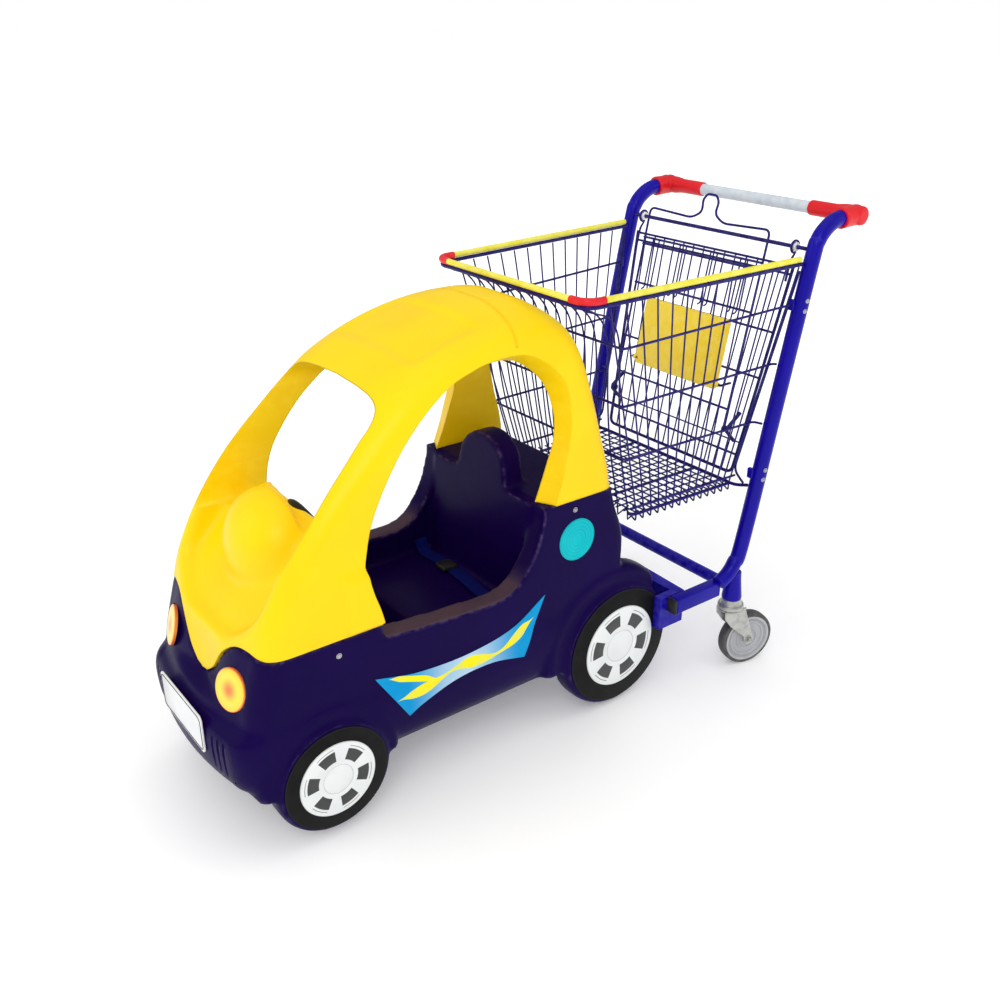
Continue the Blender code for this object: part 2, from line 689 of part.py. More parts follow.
def fork_mesh(name, plate_gap, axle_z, top_z, base_r, trail):
    """Two tapered cheeks hung from a round top plate, wheel trailing along -X of the swivel."""
    inner = plate_gap
    outer = inner + FORK_PLATE
    cheek = [(-trail - 0.011, axle_z - 0.006), (-trail - 0.006, axle_z - 0.011),
             (-trail + 0.006, axle_z - 0.011), (-trail + 0.011, axle_z - 0.006), (0.022, top_z - 0.016),
             (0.024, top_z), (-0.030, top_z), (-0.034, top_z - 0.016)]
    fork = add(name, round_mesh((0, 0, top_z - 0.0045), (0, 0, top_z), base_r, segments=24), GALVANISED)
    for side in (1, -1):
        low, high = sorted((side * inner, side * outer))
        combine(fork, cutter("cheek", slab_mesh(cheek, low, high, "Y")), "UNION")
    for side in (1, -1):
        low, high = sorted((side * (inner - 0.002), side * (outer + 0.002)))
        bore = round_mesh((-trail, low, axle_z), (-trail, high, axle_z), 0.0045 + GAP, segments=12)
        combine(fork, cutter("axle_hole", bore), "DIFFERENCE")
    return settled(fork, GALVANISED)


def axle_mesh(half_length, axle_r):
    """A plain axle with a flat hexagon head at both ends."""
    reach = half_length + 0.001
    shaft = add("axle", round_mesh((0, -reach, 0), (0, reach, 0), axle_r, segments=10), smooth=False)
    for side in (1, -1):
        head = round_mesh((0, side * (half_length + GAP), 0), (0, side * (half_length + 0.0045), 0),
                          0.0085, segments=6)
        combine(shaft, cutter("axle_head", head), "UNION")
    return baked(shaft)


def rear_caster(side_name, side):
    y = side * FRAME_HALF
    fork_top = 0.1490
    yaw = CASTER_YAW * side
    swivel = bpy.data.objects.new("swivel_" + side_name, None)
    MODEL.objects.link(swivel)
    swivel.location = (CASTER_X, y, 0)
    swivel.rotation_euler = (0, 0, yaw)
    cheek_gap = CASTER_WHEEL_HALF + FORK_GAP
    fork = fork_mesh("caster_fork_" + side_name, cheek_gap, CASTER_WHEEL_R, fork_top, 0.028, CASTER_TRAIL)
    axle = add("caster_axle_" + side_name, axle_mesh(cheek_gap + FORK_PLATE, 0.0045), GALVANISED)
    axle.location = (-CASTER_TRAIL, 0, CASTER_WHEEL_R)
    wheel, tyre = wheel_and_tyre("caster_wheel_" + side_name, "caster_tyre_" + side_name,
                                 (-CASTER_TRAIL, 0, CASTER_WHEEL_R), 0.0045)
    for item in (fork, axle, wheel, tyre):
        item.parent = swivel
    cup = round_mesh((CASTER_X, y, fork_top + GAP), (CASTER_X, y, 0.158), 0.0285, 0.0270, 24)
    race = add("caster_race_" + side_name, cup, GALVANISED)
    neck = round_mesh((CASTER_X, y, 0.157), (CASTER_X, y, SOCKET_FOOT_Z - GAP), 0.0265, 0.0205, 24)
    combine(race, cutter("race_neck_" + side_name, neck), "UNION")


def front_caster(side_name, side):
    y = side * FRONT_CASTER_Y
    cheek_gap = CASTER_WHEEL_HALF + FORK_GAP
    fork = fork_mesh("front_fork_" + side_name, cheek_gap, CASTER_WHEEL_R, CHASSIS_LOW - GAP, 0.028, 0.0)
    axle = axle_mesh(cheek_gap + FORK_PLATE, 0.0045)
    centre = (FRONT_CASTER_X, y, CASTER_WHEEL_R)
    add("front_axle_" + side_name, axle, GALVANISED).location = centre
    fork.location = (FRONT_CASTER_X, y, 0)
    hub = ring_mesh((0, -CASTER_WHEEL_HALF, 0), (0, CASTER_WHEEL_HALF, 0), CASTER_WHEEL_R,
                    0.0045 + GAP, 28)
    add("front_wheel_" + side_name, hub, TREAD_RUBBER).location = centre


# ---------------------------------------------------------------- chassis
def chassis():
    """Two rails under the car, tied at both ends, with brackets out to the trolley's side rails."""
    low, high = CHASSIS_LOW, CHASSIS_HIGH
    half = RAIL_WIDE / 2
    rear_end = CHASSIS_REAR
    frame = add("car_chassis", box_mesh((rear_end, -CHASSIS_HALF - half, low),
                                        (rear_end + RAIL_WIDE, CHASSIS_HALF + half, high)), FRAME_PAINT)
    bars = [((CHASSIS_FRONT - 0.055, -CHASSIS_HALF - half, low + 0.0005),
             (CHASSIS_FRONT, CHASSIS_HALF + half, high - 0.0005))]
    for side in (1, -1):
        near, far = sorted((side * (CHASSIS_HALF - half + 0.0005), side * (CHASSIS_HALF + half - 0.0005)))
        bars.append(((rear_end + 0.001, near, low + 0.001), (CHASSIS_FRONT - 0.001, far, high - 0.001)))
    for low_corner, high_corner in bars:
        combine(frame, cutter("chassis_bar", box_mesh(low_corner, high_corner)), "UNION")
    rail_inner = FRAME_HALF - half - 0.0075 - GAP
    for side in (1, -1):
        outline = [(-0.2765, CHASSIS_HALF), (-0.2765, 0.2185), (-0.232, 0.2185), (-0.232, rail_inner),
                   (-0.300, rail_inner), (-0.3045, CHASSIS_HALF)]
        outline = [(x, side * y) for x, y in outline]
        bracket = slab_mesh(outline, CHASSIS_LOW + 0.002, RAIL_Z + RAIL_HIGH / 2, "Z")
        combine(frame, cutter("chassis_bracket", bracket), "UNION")


# ---------------------------------------------------------------- car body
def plan_loop(z, rear, front, half, front_round, rear_round, bow):
    """A ring at one height: straight sides, rounded corners and a bowed front."""
    rear_corner = []
    for step in range(5):
        angle = math.radians(90 * (1 - step / 4))
        rear_corner.append((rear + rear_round * (1 - math.sin(angle)),
                            half - rear_round * (1 - math.cos(angle))))
    corner = []
    for step in range(7):
        angle = math.radians(90 * step / 6)
        corner.append((front - bow - front_round * (1 - math.sin(angle)),
                       half - front_round * (1 - math.cos(angle))))
    nose = []
    edge = half - front_round
    for step in range(1, 4):
        y = edge * (1 - step / 4)
        nose.append((front - bow * (y / edge) ** 2, y))
    left = rear_corner + corner + nose
    ring = left + [(front, 0.0)] + [(x, -y) for x, y in reversed(left)]
    return [(x, y, z) for x, y in ring]


BODY_LEVELS = (
    # height, rear, front, half width, front corner radius, bow
    (0.120, -0.150, 0.672, 0.180, 0.050, 0.020),
    (0.145, -0.152, 0.696, 0.196, 0.055, 0.022),
    (0.190, -0.154, 0.7035, 0.204, 0.060, 0.024),
    (0.240, -0.155, 0.700, 0.205, 0.060, 0.024),
    (0.262, -0.155, 0.684, 0.202, 0.045, 0.022),
    (0.300, -0.155, 0.674, 0.202, 0.045, 0.020),
    (0.388, -0.155, 0.646, 0.202, 0.045, 0.018),
    (0.450, -0.134, 0.620, 0.201, 0.045, 0.018),
    (0.500, -0.120, 0.600, 0.200, 0.045, 0.018),
)

DOOR_FOOT = [(0.050, 0.520), (0.052, 0.490), (0.058, 0.458), (0.071, 0.418), (0.095, 0.380),
             (0.122, 0.354), (0.163, 0.344), (0.272, 0.348), (DOOR_FRONT, 0.359)]

SEAM = [(0.30, 0.385), (0.190, 0.385), (0.150, 0.391), (0.115, 0.385), (0.080, 0.360),
        (0.048, 0.317), (0.020, 0.296), (0.0, 0.292)]


def above_seam(lift=0.0):
    """Everything above the V-shaped seam across the nose, raised by a clearance."""
    left = [(y, z + lift) for y, z in SEAM]
    return left + [(-y, z) for y, z in reversed(left[:-1])] + [(-0.30, 0.95), (0.30, 0.95)]


def body_hull():
    loops = [plan_loop(z, rear, front, half, round_, 0.020, bow)
             for z, rear, front, half, round_, bow in BODY_LEVELS]
    return loft_mesh(loops)


def wheel_boss(position, side):
    x, z, tyre_r, _ = WHEELS[position]
    boss = tyre_r + BOSS_MARGIN
    return round_mesh((x, side * 0.165, z), (x, side * WHEEL_FACE_Y, z), boss + 0.004, boss, 32)


def fender(position, side):
    if position == "rear":
        return round_mesh((-0.122, side * 0.160, 0.148), (-0.122, side * 0.2085, 0.148), 0.168, 0.160, 32)
    return round_mesh((0.521, side * 0.160, 0.134), (0.521, side * 0.2085, 0.134), 0.134, 0.128, 32)


def car_body():
    body = add("car_body", body_hull(), BODY_PLASTIC)
    for side_name, side in SIDES.items():
        for position in WHEELS:
            combine(body, cutter("fender", fender(position, side)), "UNION")
    above_door = DOOR_FOOT + [(DOOR_FRONT, 0.60), (0.050, 0.60)]
    cuts = [
        ("under_rear_fender", box_mesh((-0.40, -0.30, -0.10), (-0.2385, 0.30, 0.50))),
        ("below_sill", box_mesh((-0.40, -0.30, -0.10), (0.80, 0.30, 0.125))),
    ]
    for name, mesh in cuts:
        combine(body, cutter(name, mesh), "DIFFERENCE")
    for side_name, side in SIDES.items():
        for position in WHEELS:
            combine(body, cutter("wheel_boss", wheel_boss(position, side)), "UNION")
    behind = BACKREST_X - 0.015
    cabin = [(behind + BACKREST_LEAN * 0.70, 0.70), (behind + BACKREST_LEAN * BENCH_Z, BENCH_Z),
             (0.255, BENCH_Z), (0.285, 0.250),
             (0.300, CAB_FLOOR_Z), (0.560, CAB_FLOOR_Z), (0.560, 0.70)]
    hollow = [(-0.125, 0.05), (-0.125, 0.235), (-0.110, 0.245), (0.270, 0.245), (0.285, 0.230),
              (0.290, CHASSIS_HIGH + GAP), (0.640, CHASSIS_HIGH + GAP), (0.640, 0.05)]
    cuts = [
        ("door_way", slab_mesh(above_door, -0.30, 0.30, "Y")),
        ("cabin", slab_mesh(cabin, -0.158, 0.158, "Y")),
        ("seam", slab_mesh(above_seam(), DOOR_FRONT, 0.80, "X")),
        ("hollow", slab_mesh(hollow, -0.160, 0.160, "Y")),
        ("chassis_way", box_mesh((-0.30, -0.160, 0.05), (-0.10, 0.160, 0.225))),
    ]
    for name, mesh in cuts:
        combine(body, cutter(name, mesh), "DIFFERENCE")
    combine(body, cutter("backrest", backrest_mesh()), "UNION")
    for side_name, side in SIDES.items():
        lamp = lamp_mesh(side, LAMP_R + GAP, -0.003 - GAP, 0.04)
        combine(body, cutter("lamp_recess_" + side_name, lamp), "DIFFERENCE")
    plate = box_mesh((PLATE_X - 0.0023, -PLATE_HALF - GAP, PLATE_LOW - GAP),
                     (0.80, PLATE_HALF + GAP, PLATE_HIGH + GAP))
    combine(body, cutter("plate_recess", plate), "DIFFERENCE")
    return body


def backrest_mesh():
    """The leaning wall behind the child: level shoulders and a round hump for the head."""
    half = [(0.160, 0.250), (0.160, 0.486), (0.150, 0.4975), (0.095, 0.4990), (0.079, 0.510),
            (0.0745, 0.530), (0.068, 0.548), (0.052, 0.572), (0.025, 0.590), (0.0, 0.595)]
    mesh = slab_mesh(half + [(-y, z) for y, z in reversed(half[:-1])],
                     BACKREST_X - 0.050, BACKREST_X, "X")
    lean = Matrix.Identity(4)
    lean[0][2] = BACKREST_LEAN
    mesh.transform(lean)
    return mesh


def lamp_mesh(side, radius, start, depth):
    """A disc whose axis points forward and slightly up and outward."""
    axis = Vector((0.93, side * 0.24, 0.27)).normalized()
    centre = Vector((LAMP_AT[0], side * LAMP_AT[1], LAMP_AT[2]))
    return round_mesh(centre + axis * start, centre + axis * (start + depth), radius, segments=32)


def lamps_and_plate():
    for side_name, side in SIDES.items():
        add("headlight_" + side_name, lamp_mesh(side, LAMP_R, -0.003, 0.006), LAMP_PLASTIC)
    add("number_plate", box_mesh((PLATE_X - 0.002, -PLATE_HALF, PLATE_LOW),
                                 (PLATE_X + 0.001, PLATE_HALF, PLATE_HIGH)), WHITE_PLASTIC)


def wheel_discs():
    """Printed discs on the moulded wheels: a black tyre disc with a white hubcap on it."""
    for side_name, side in SIDES.items():
        for position, (x, z, tyre_r, cap_r) in WHEELS.items():
            inner = side * (WHEEL_FACE_Y + GAP)
            middle = side * (WHEEL_FACE_Y + GAP + DISC_THICK)
            outer = side * (WHEEL_FACE_Y + 2 * GAP + 2 * DISC_THICK)
            tag = position + "_" + side_name
            add("tyre_disc_" + tag, round_mesh((x, inner, z), (x, middle, z), tyre_r, segments=32),
                BLACK_PLASTIC)
            add("hubcap_" + tag, round_mesh((x, middle + side * GAP, z), (x, outer, z), cap_r, segments=24),
                WHITE_PLASTIC)


# ---------------------------------------------------------------- canopy
CANOPY_LEVELS = (
    # height, rear, front, half width, front corner radius, rear corner radius, bow
    (0.280, -0.118, 0.6810, 0.2020, 0.045, 0.030, 0.020),
    (0.388, -0.120, 0.6480, 0.2020, 0.045, 0.030, 0.018),
    (0.440, -0.122, 0.6300, 0.2020, 0.045, 0.030, 0.016),
    (0.523, -0.119, 0.5870, 0.2010, 0.050, 0.030, 0.014),
    (0.610, -0.098, 0.5170, 0.1970, 0.055, 0.030, 0.010),
    (0.690, -0.078, 0.4400, 0.1920, 0.065, 0.030, 0.006),
    (0.757, -0.060, 0.3600, 0.1850, 0.080, 0.035, 0.004),
    (0.785, -0.050, 0.3150, 0.1800, 0.095, 0.040, 0.006),
    (0.812, -0.039, 0.2660, 0.1710, 0.105, 0.045, 0.008),
    (0.838, -0.020, 0.2060, 0.1480, 0.092, 0.050, 0.010),
    (0.858, 0.008, 0.1400, 0.0880, 0.047, 0.040, 0.006),
)

DOOR_EDGE = (
    # x and z on the outer face, x and z on the inner face
    (DOOR_FRONT, 0.300, DOOR_FRONT, 0.300), (DOOR_FRONT, 0.372, DOOR_FRONT, 0.372),
    (0.414, 0.420, 0.414, 0.420), (0.425, 0.455, 0.425, 0.455), (0.432, 0.488, 0.430, 0.488),
    (0.431, 0.520, 0.429, 0.520), (0.408, 0.594, 0.406, 0.594), (0.345, 0.692, 0.341, 0.686), (0.260, 0.770, 0.256, 0.752),
    (0.192, 0.799, 0.190, 0.777), (0.154, 0.806, 0.154, 0.784), (0.111, 0.810, 0.118, 0.785),
    (0.079, 0.809, 0.088, 0.778), (0.048, 0.797, 0.062, 0.764), (0.004, 0.764, 0.030, 0.738),
    (-0.021, 0.728, 0.010, 0.710), (-0.029, 0.660, -0.003, 0.660), (-0.023, 0.616, -0.002, 0.616),
    (-0.003, 0.573, 0.020, 0.573), (0.012, 0.535, 0.036, 0.535), (0.029, 0.495, 0.055, 0.495),
    (0.042, 0.460, 0.066, 0.460), (0.042, 0.300, 0.066, 0.300),
)

WINDSCREEN = [(0.0, 0.592), (0.045, 0.590), (0.080, 0.578), (0.108, 0.556), (0.130, 0.536),
              (0.150, 0.520), (0.167, 0.538), (0.172, 0.590), (0.167, 0.640), (0.163, 0.676),
              (0.158, 0.705), (0.156, 0.722), (0.150, 0.736), (0.138, 0.747), (0.115, 0.752),
              (0.070, 0.755), (0.0, 0.757)]

REAR_WINDOW = [(0.0, 0.40), (0.148, 0.40), (0.146, 0.620), (0.138, 0.700), (0.116, 0.760), (0.080, 0.786),
               (0.0, 0.792)]


def both_sides(half_outline):
    return half_outline + [(-y, z) for y, z in reversed(half_outline) if y > 0]


COWL = ((0.385, 0.625), (0.425, 0.592), (0.475, 0.543), (0.530, 0.490), (0.545, 0.465))

HOOD_BOWL = [(0.158, 0.640), (0.158, 0.500), (0.145, 0.440), (0.100, 0.400), (0.060, 0.388), (0.0, 0.385)]


def cowl_x(z):
    """How far forward the sunken hood's back slope is at a height."""
    for (low, low_x), (high, high_x) in zip(COWL, COWL[1:]):
        if low <= z <= high:
            return lerp(low_x, high_x, (z - low) / (high - low))
    return 0.80


def canopy_loops(inset):
    """The hollow's rings. In front of the child's knees it stops behind the hood's back slope."""
    loops = []
    for z, rear, front, half, front_round, rear_round, bow in CANOPY_LEVELS:
        if z + inset > 0.84:
            break
        drop = inset if z > 0.70 else 0.0
        inner_front = min(front - inset - drop * 0.3, cowl_x(z) - COWL_WALL)
        loops.append(plan_loop(z - drop, rear + inset, inner_front, half - inset,
                               max(0.012, front_round - inset), max(0.012, rear_round - inset), bow))
    return loops


def hood_bowl():
    """The space of the sunken hood: a U seen from the front, bounded by the slope behind."""
    slope = [(x, z) for z, x in COWL]
    above = [(0.80, 0.385)] + slope + [(0.440, 0.640), (0.80, 0.640)]
    item = add("bowl", slab_mesh(both_sides(HOOD_BOWL), 0.42, 0.78, "X"), smooth=False)
    combine(item, cutter("bowl_slope", slab_mesh(above, -0.20, 0.20, "Y")), "INTERSECT")
    return baked(item)


def hood_dome():
    """The round bulge in the hood that carries the steering column, flat toward the child."""
    item = add("dome", ellipsoid_mesh((0.500, 0.0, 0.488), (0.085, 0.105, 0.105)), smooth=False)
    combine(item, cutter("dash", box_mesh((0.30, -0.20, 0.30), (DASH_X, 0.20, 0.70))), "DIFFERENCE")
    return baked(item)


def door_cutter():
    """A cutter through both doors whose edge is bevelled from the outer face to the inner."""
    outer = smooth_path([(x, 0, z) for x, z, _, _ in DOOR_EDGE], 2)
    inner = smooth_path([(x, 0, z) for _, _, x, z in DOOR_EDGE], 2)
    loops = []
    for y, blend in ((-0.30, 0.0), (-0.200, 0.0), (-0.155, 1.0), (0.155, 1.0), (0.200, 0.0), (0.30, 0.0)):
        loops.append([(lerp(a.x, b.x, blend), y, lerp(a.z, b.z, blend)) for a, b in zip(outer, inner)])
    return loft_mesh(loops)


def canopy():
    loops = [plan_loop(*level) for level in CANOPY_LEVELS]
    shell = add("canopy", loft_mesh(loops), CANOPY_PLASTIC)
    inner = canopy_loops(0.038)
    inner = [[(x, y, 0.20) for x, y, _ in inner[0]]] + inner
    cuts = [
        ("canopy_inner", loft_mesh(inner)),
        ("door_opening", door_cutter()),
        ("windscreen", slab_mesh(both_sides(WINDSCREEN), 0.30, 0.80, "X")),
        ("rear_window", slab_mesh(both_sides(REAR_WINDOW), -0.30, 0.04, "X")),
        ("below_deck", box_mesh((-0.30, -0.30, 0.10), (DOOR_FRONT - 0.0015, 0.30, DECK_Z + GAP))),
        ("hood_bowl", hood_bowl()),
    ]
    for name, mesh in cuts:
        combine(shell, cutter(name, mesh), "DIFFERENCE")
    combine(shell, cutter("hood_dome", hood_dome()), "UNION")
    combine(shell, cutter("above_seam", slab_mesh(above_seam(GAP), -0.40, 0.90, "X")), "INTERSECT")
    return shell


# ---------------------------------------------------------------- cabin fittings
def steering():
    wheel = bpy.data.meshes.new("steering")
    work = bmesh.new()
    count, rim_r = 20, 0.0085
    loops = []
    for step in range(count):
        angle = 2 * math.pi * step / count
        spoke = Vector((math.cos(angle), math.sin(angle), 0))
        ring = []
        for turn in range(6):
            around = 2 * math.pi * turn / 6
            ring.append(work.verts.new(spoke * (STEER_R - rim_r + rim_r * math.cos(around))
                                       + Vector((0, 0, rim_r * math.sin(around)))))
        loops.append([work.edges.new((a, b)) for a, b in zip(ring, ring[1:] + ring[:1])])
    for first, second in zip(loops, loops[1:] + loops[:1]):
        bmesh.ops.bridge_loops(work, edges=first + second)
    bmesh.ops.recalc_face_normals(work, faces=work.faces)
    work.to_mesh(wheel)
    work.free()
    item = add("steering_wheel", wheel, BLACK_PLASTIC)
    boss = round_mesh((0, 0, -0.012), (0, 0, 0.006), 0.020, segments=20)
    combine(item, cutter("steering_boss", boss), "UNION")
    for angle in (0, 120, 240):
        out = Vector((math.cos(math.radians(angle + 90)), math.sin(math.radians(angle + 90)), 0))
        spoke = round_mesh(out * 0.010, out * (STEER_R - 0.010), 0.0055, segments=10)
        combine(item, cutter("steering_spoke", spoke), "UNION")
    item = settled(item, BLACK_PLASTIC)
    item.location = STEER_AT
    item.rotation_euler = (0, STEER_TILT, 0)
    axis = Matrix.Rotation(STEER_TILT, 3, "Y") @ Vector((0, 0, 1))
    centre = Vector(STEER_AT)
    column = tube("steering_column", [tuple(centre - axis * (0.012 + GAP)), tuple(centre - axis * 0.090)],
                  0.011, BLACK_PLASTIC, 2)
    beyond_dash = box_mesh((DASH_X - GAP, -0.05, 0.40), (0.60, 0.05, 0.60))
    combine(column, cutter("beyond_dash", beyond_dash), "DIFFERENCE")


# ---------------------------------------------------------------- assembly
def build():
    for side_name, side in SIDES.items():
        upright(side_name, side)
        side_rail(side_name, side)
        caster_socket(side_name, side)
        basket_side(side_name, side)
        rear_caster(side_name, side)
        front_caster(side_name, side)
    cross_bar()
    handle()
    basket_front()
    basket_floor()
    rim()
    hinge_rod()
    gate_panel()
    seat_back()
    seat_panel()
    chassis()
    car_body()
    lamps_and_plate()
    wheel_discs()
    canopy()
    steering()
    bpy.context.view_layer.update()


build()
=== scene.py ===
"""Looks of a shopping cart with a child's ride-in play car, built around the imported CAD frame.

Pieces are placed from the frame's boxes and joints. Outlines and profiles that the frame doesn't
hold are written in its own coordinates: metres, +X forward, +Y left, +Z up.
"""

import json
import math

import bmesh
import bpy
import numpy as np
from mathutils import Matrix, Vector
from mathutils.bvhtree import BVHTree


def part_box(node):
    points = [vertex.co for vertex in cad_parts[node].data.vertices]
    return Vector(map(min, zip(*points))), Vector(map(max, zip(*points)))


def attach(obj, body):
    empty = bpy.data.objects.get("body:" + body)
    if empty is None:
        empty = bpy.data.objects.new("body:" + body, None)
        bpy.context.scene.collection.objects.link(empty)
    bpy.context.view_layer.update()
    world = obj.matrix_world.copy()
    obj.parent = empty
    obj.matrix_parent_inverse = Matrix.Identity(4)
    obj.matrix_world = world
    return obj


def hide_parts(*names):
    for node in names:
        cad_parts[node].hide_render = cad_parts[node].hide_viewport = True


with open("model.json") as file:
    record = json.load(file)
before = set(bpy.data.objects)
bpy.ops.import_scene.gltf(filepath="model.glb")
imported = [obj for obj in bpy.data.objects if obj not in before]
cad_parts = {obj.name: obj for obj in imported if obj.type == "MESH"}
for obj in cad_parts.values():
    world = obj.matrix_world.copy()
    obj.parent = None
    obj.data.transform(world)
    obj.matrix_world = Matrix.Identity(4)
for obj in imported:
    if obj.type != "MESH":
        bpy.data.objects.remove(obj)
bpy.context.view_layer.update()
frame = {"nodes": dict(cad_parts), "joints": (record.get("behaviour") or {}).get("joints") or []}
NODES = frame["nodes"]
JOINTS = {joint["name"]: joint for joint in frame["joints"]}
SIDES = {"left": 1, "right": -1}


# ---------------------------------------------------------------- places taken from the frame
def low(node):
    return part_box(node)[0]


def high(node):
    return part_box(node)[1]


def middle(node):
    return (low(node) + high(node)) / 2


def joint_at(name):
    return Vector(JOINTS[name]["pos_m"])


UPRIGHT_Y = middle("upright_left").y
TUBE_R = (high("upright_left").y - low("upright_left").y) / 2
HANDLE = middle("handle_tube")
HANDLE_R = (high("handle_tube").z - low("handle_tube").z) / 2
GATE_AXIS = joint_at("gate_hinge")
SEAT_AXIS = joint_at("seat_back_hinge")
FLAP_AXIS = joint_at("seat_panel_hinge")
SEAT_OFF = 0.030                 # how far the seat's hinge stands in front of the gate's plane
LEAN = (SEAT_AXIS.x - SEAT_OFF - GATE_AXIS.x) / (SEAT_AXIS.z - GATE_AXIS.z)
UPRIGHT_BACK = 0.005             # how far the uprights' centre lines stand behind the gate's plane
FRAME_WIRE = 0.0036              # radius of the frame's own floor edge wire
FLOOR_LOW = low("basket_floor")
FLOOR_HIGH = high("basket_floor")
FLOOR_Z = FLOOR_HIGH.z - FRAME_WIRE
FLOOR_REAR = FLOOR_LOW.x + FRAME_WIRE
FLOOR_FRONT = FLOOR_HIGH.x - FRAME_WIRE
RIM_LOW = low("rim_wire")
RIM_HIGH = high("rim_wire")
RIM_R = 0.004
COVER_R = 0.0058                 # yellow strips on the rim
WHEEL_FACE = high("car_body").y
CASTER_WHEEL_R = 0.0625
CASTER_WHEEL_HALF = 0.0130

# wire radii
THIN = 0.0017
MID = 0.0025
HEAVY = 0.0035


# ---------------------------------------------------------------- small maths
def lerp(a, b, t):
    return a + (b - a) * t


def flipped(points, side):
    return [Vector((p[0], side * p[1], p[2])) for p in points]


def upright_x(z):
    """The uprights' centre line at a height."""
    return GATE_AXIS.x - UPRIGHT_BACK + LEAN * (z - GATE_AXIS.z)


def flowing(points, per_span=6):
    """A rounded path through points of any dimension (Catmull-Rom)."""
    knots = [np.array(p, float) for p in points]
    knots = [2 * knots[0] - knots[1]] + knots + [2 * knots[-1] - knots[-2]]
    path = []
    for a, b, c, d in zip(knots, knots[1:], knots[2:], knots[3:]):
        for step in range(per_span):
            t = step / per_span
            path.append(0.5 * (2 * b + (c - a) * t + (2 * a - 5 * b + 4 * c - d) * t**2
                               + (3 * b - 3 * c + d - a) * t**3))
    return path + [knots[-2]]


def flowing_pairs(points, per_span=5):
    return [(p[0], p[1]) for p in flowing(points, per_span)]


def mirrored(half):
    """A closed outline from its half at positive y, listed down to the middle."""
    return half + [(-y, z) for y, z in reversed(half) if y > 0]


def rounded(points, radius, steps=5):
    """A polyline whose corners are turned into arcs, as bent wire has."""
    points = [Vector(p) for p in points]
    path = [points[0]]
    for before, corner, after in zip(points, points[1:], points[2:]):
        reach = min(radius, (before - corner).length * 0.45, (after - corner).length * 0.45)
        start = corner + (before - corner).normalized() * reach
        end = corner + (after - corner).normalized() * reach
        for step in range(steps + 1):
            t = step / steps
            path.append(start.lerp(corner, t).lerp(corner.lerp(end, t), t))
    return path + [points[-1]]


def soft_step(value, edge, width):
    """0 well below the edge, 1 well above it, smooth between."""
    t = np.clip((value - edge) / width + 0.5, 0.0, 1.0)
    return t * t * (3.0 - 2.0 * t)


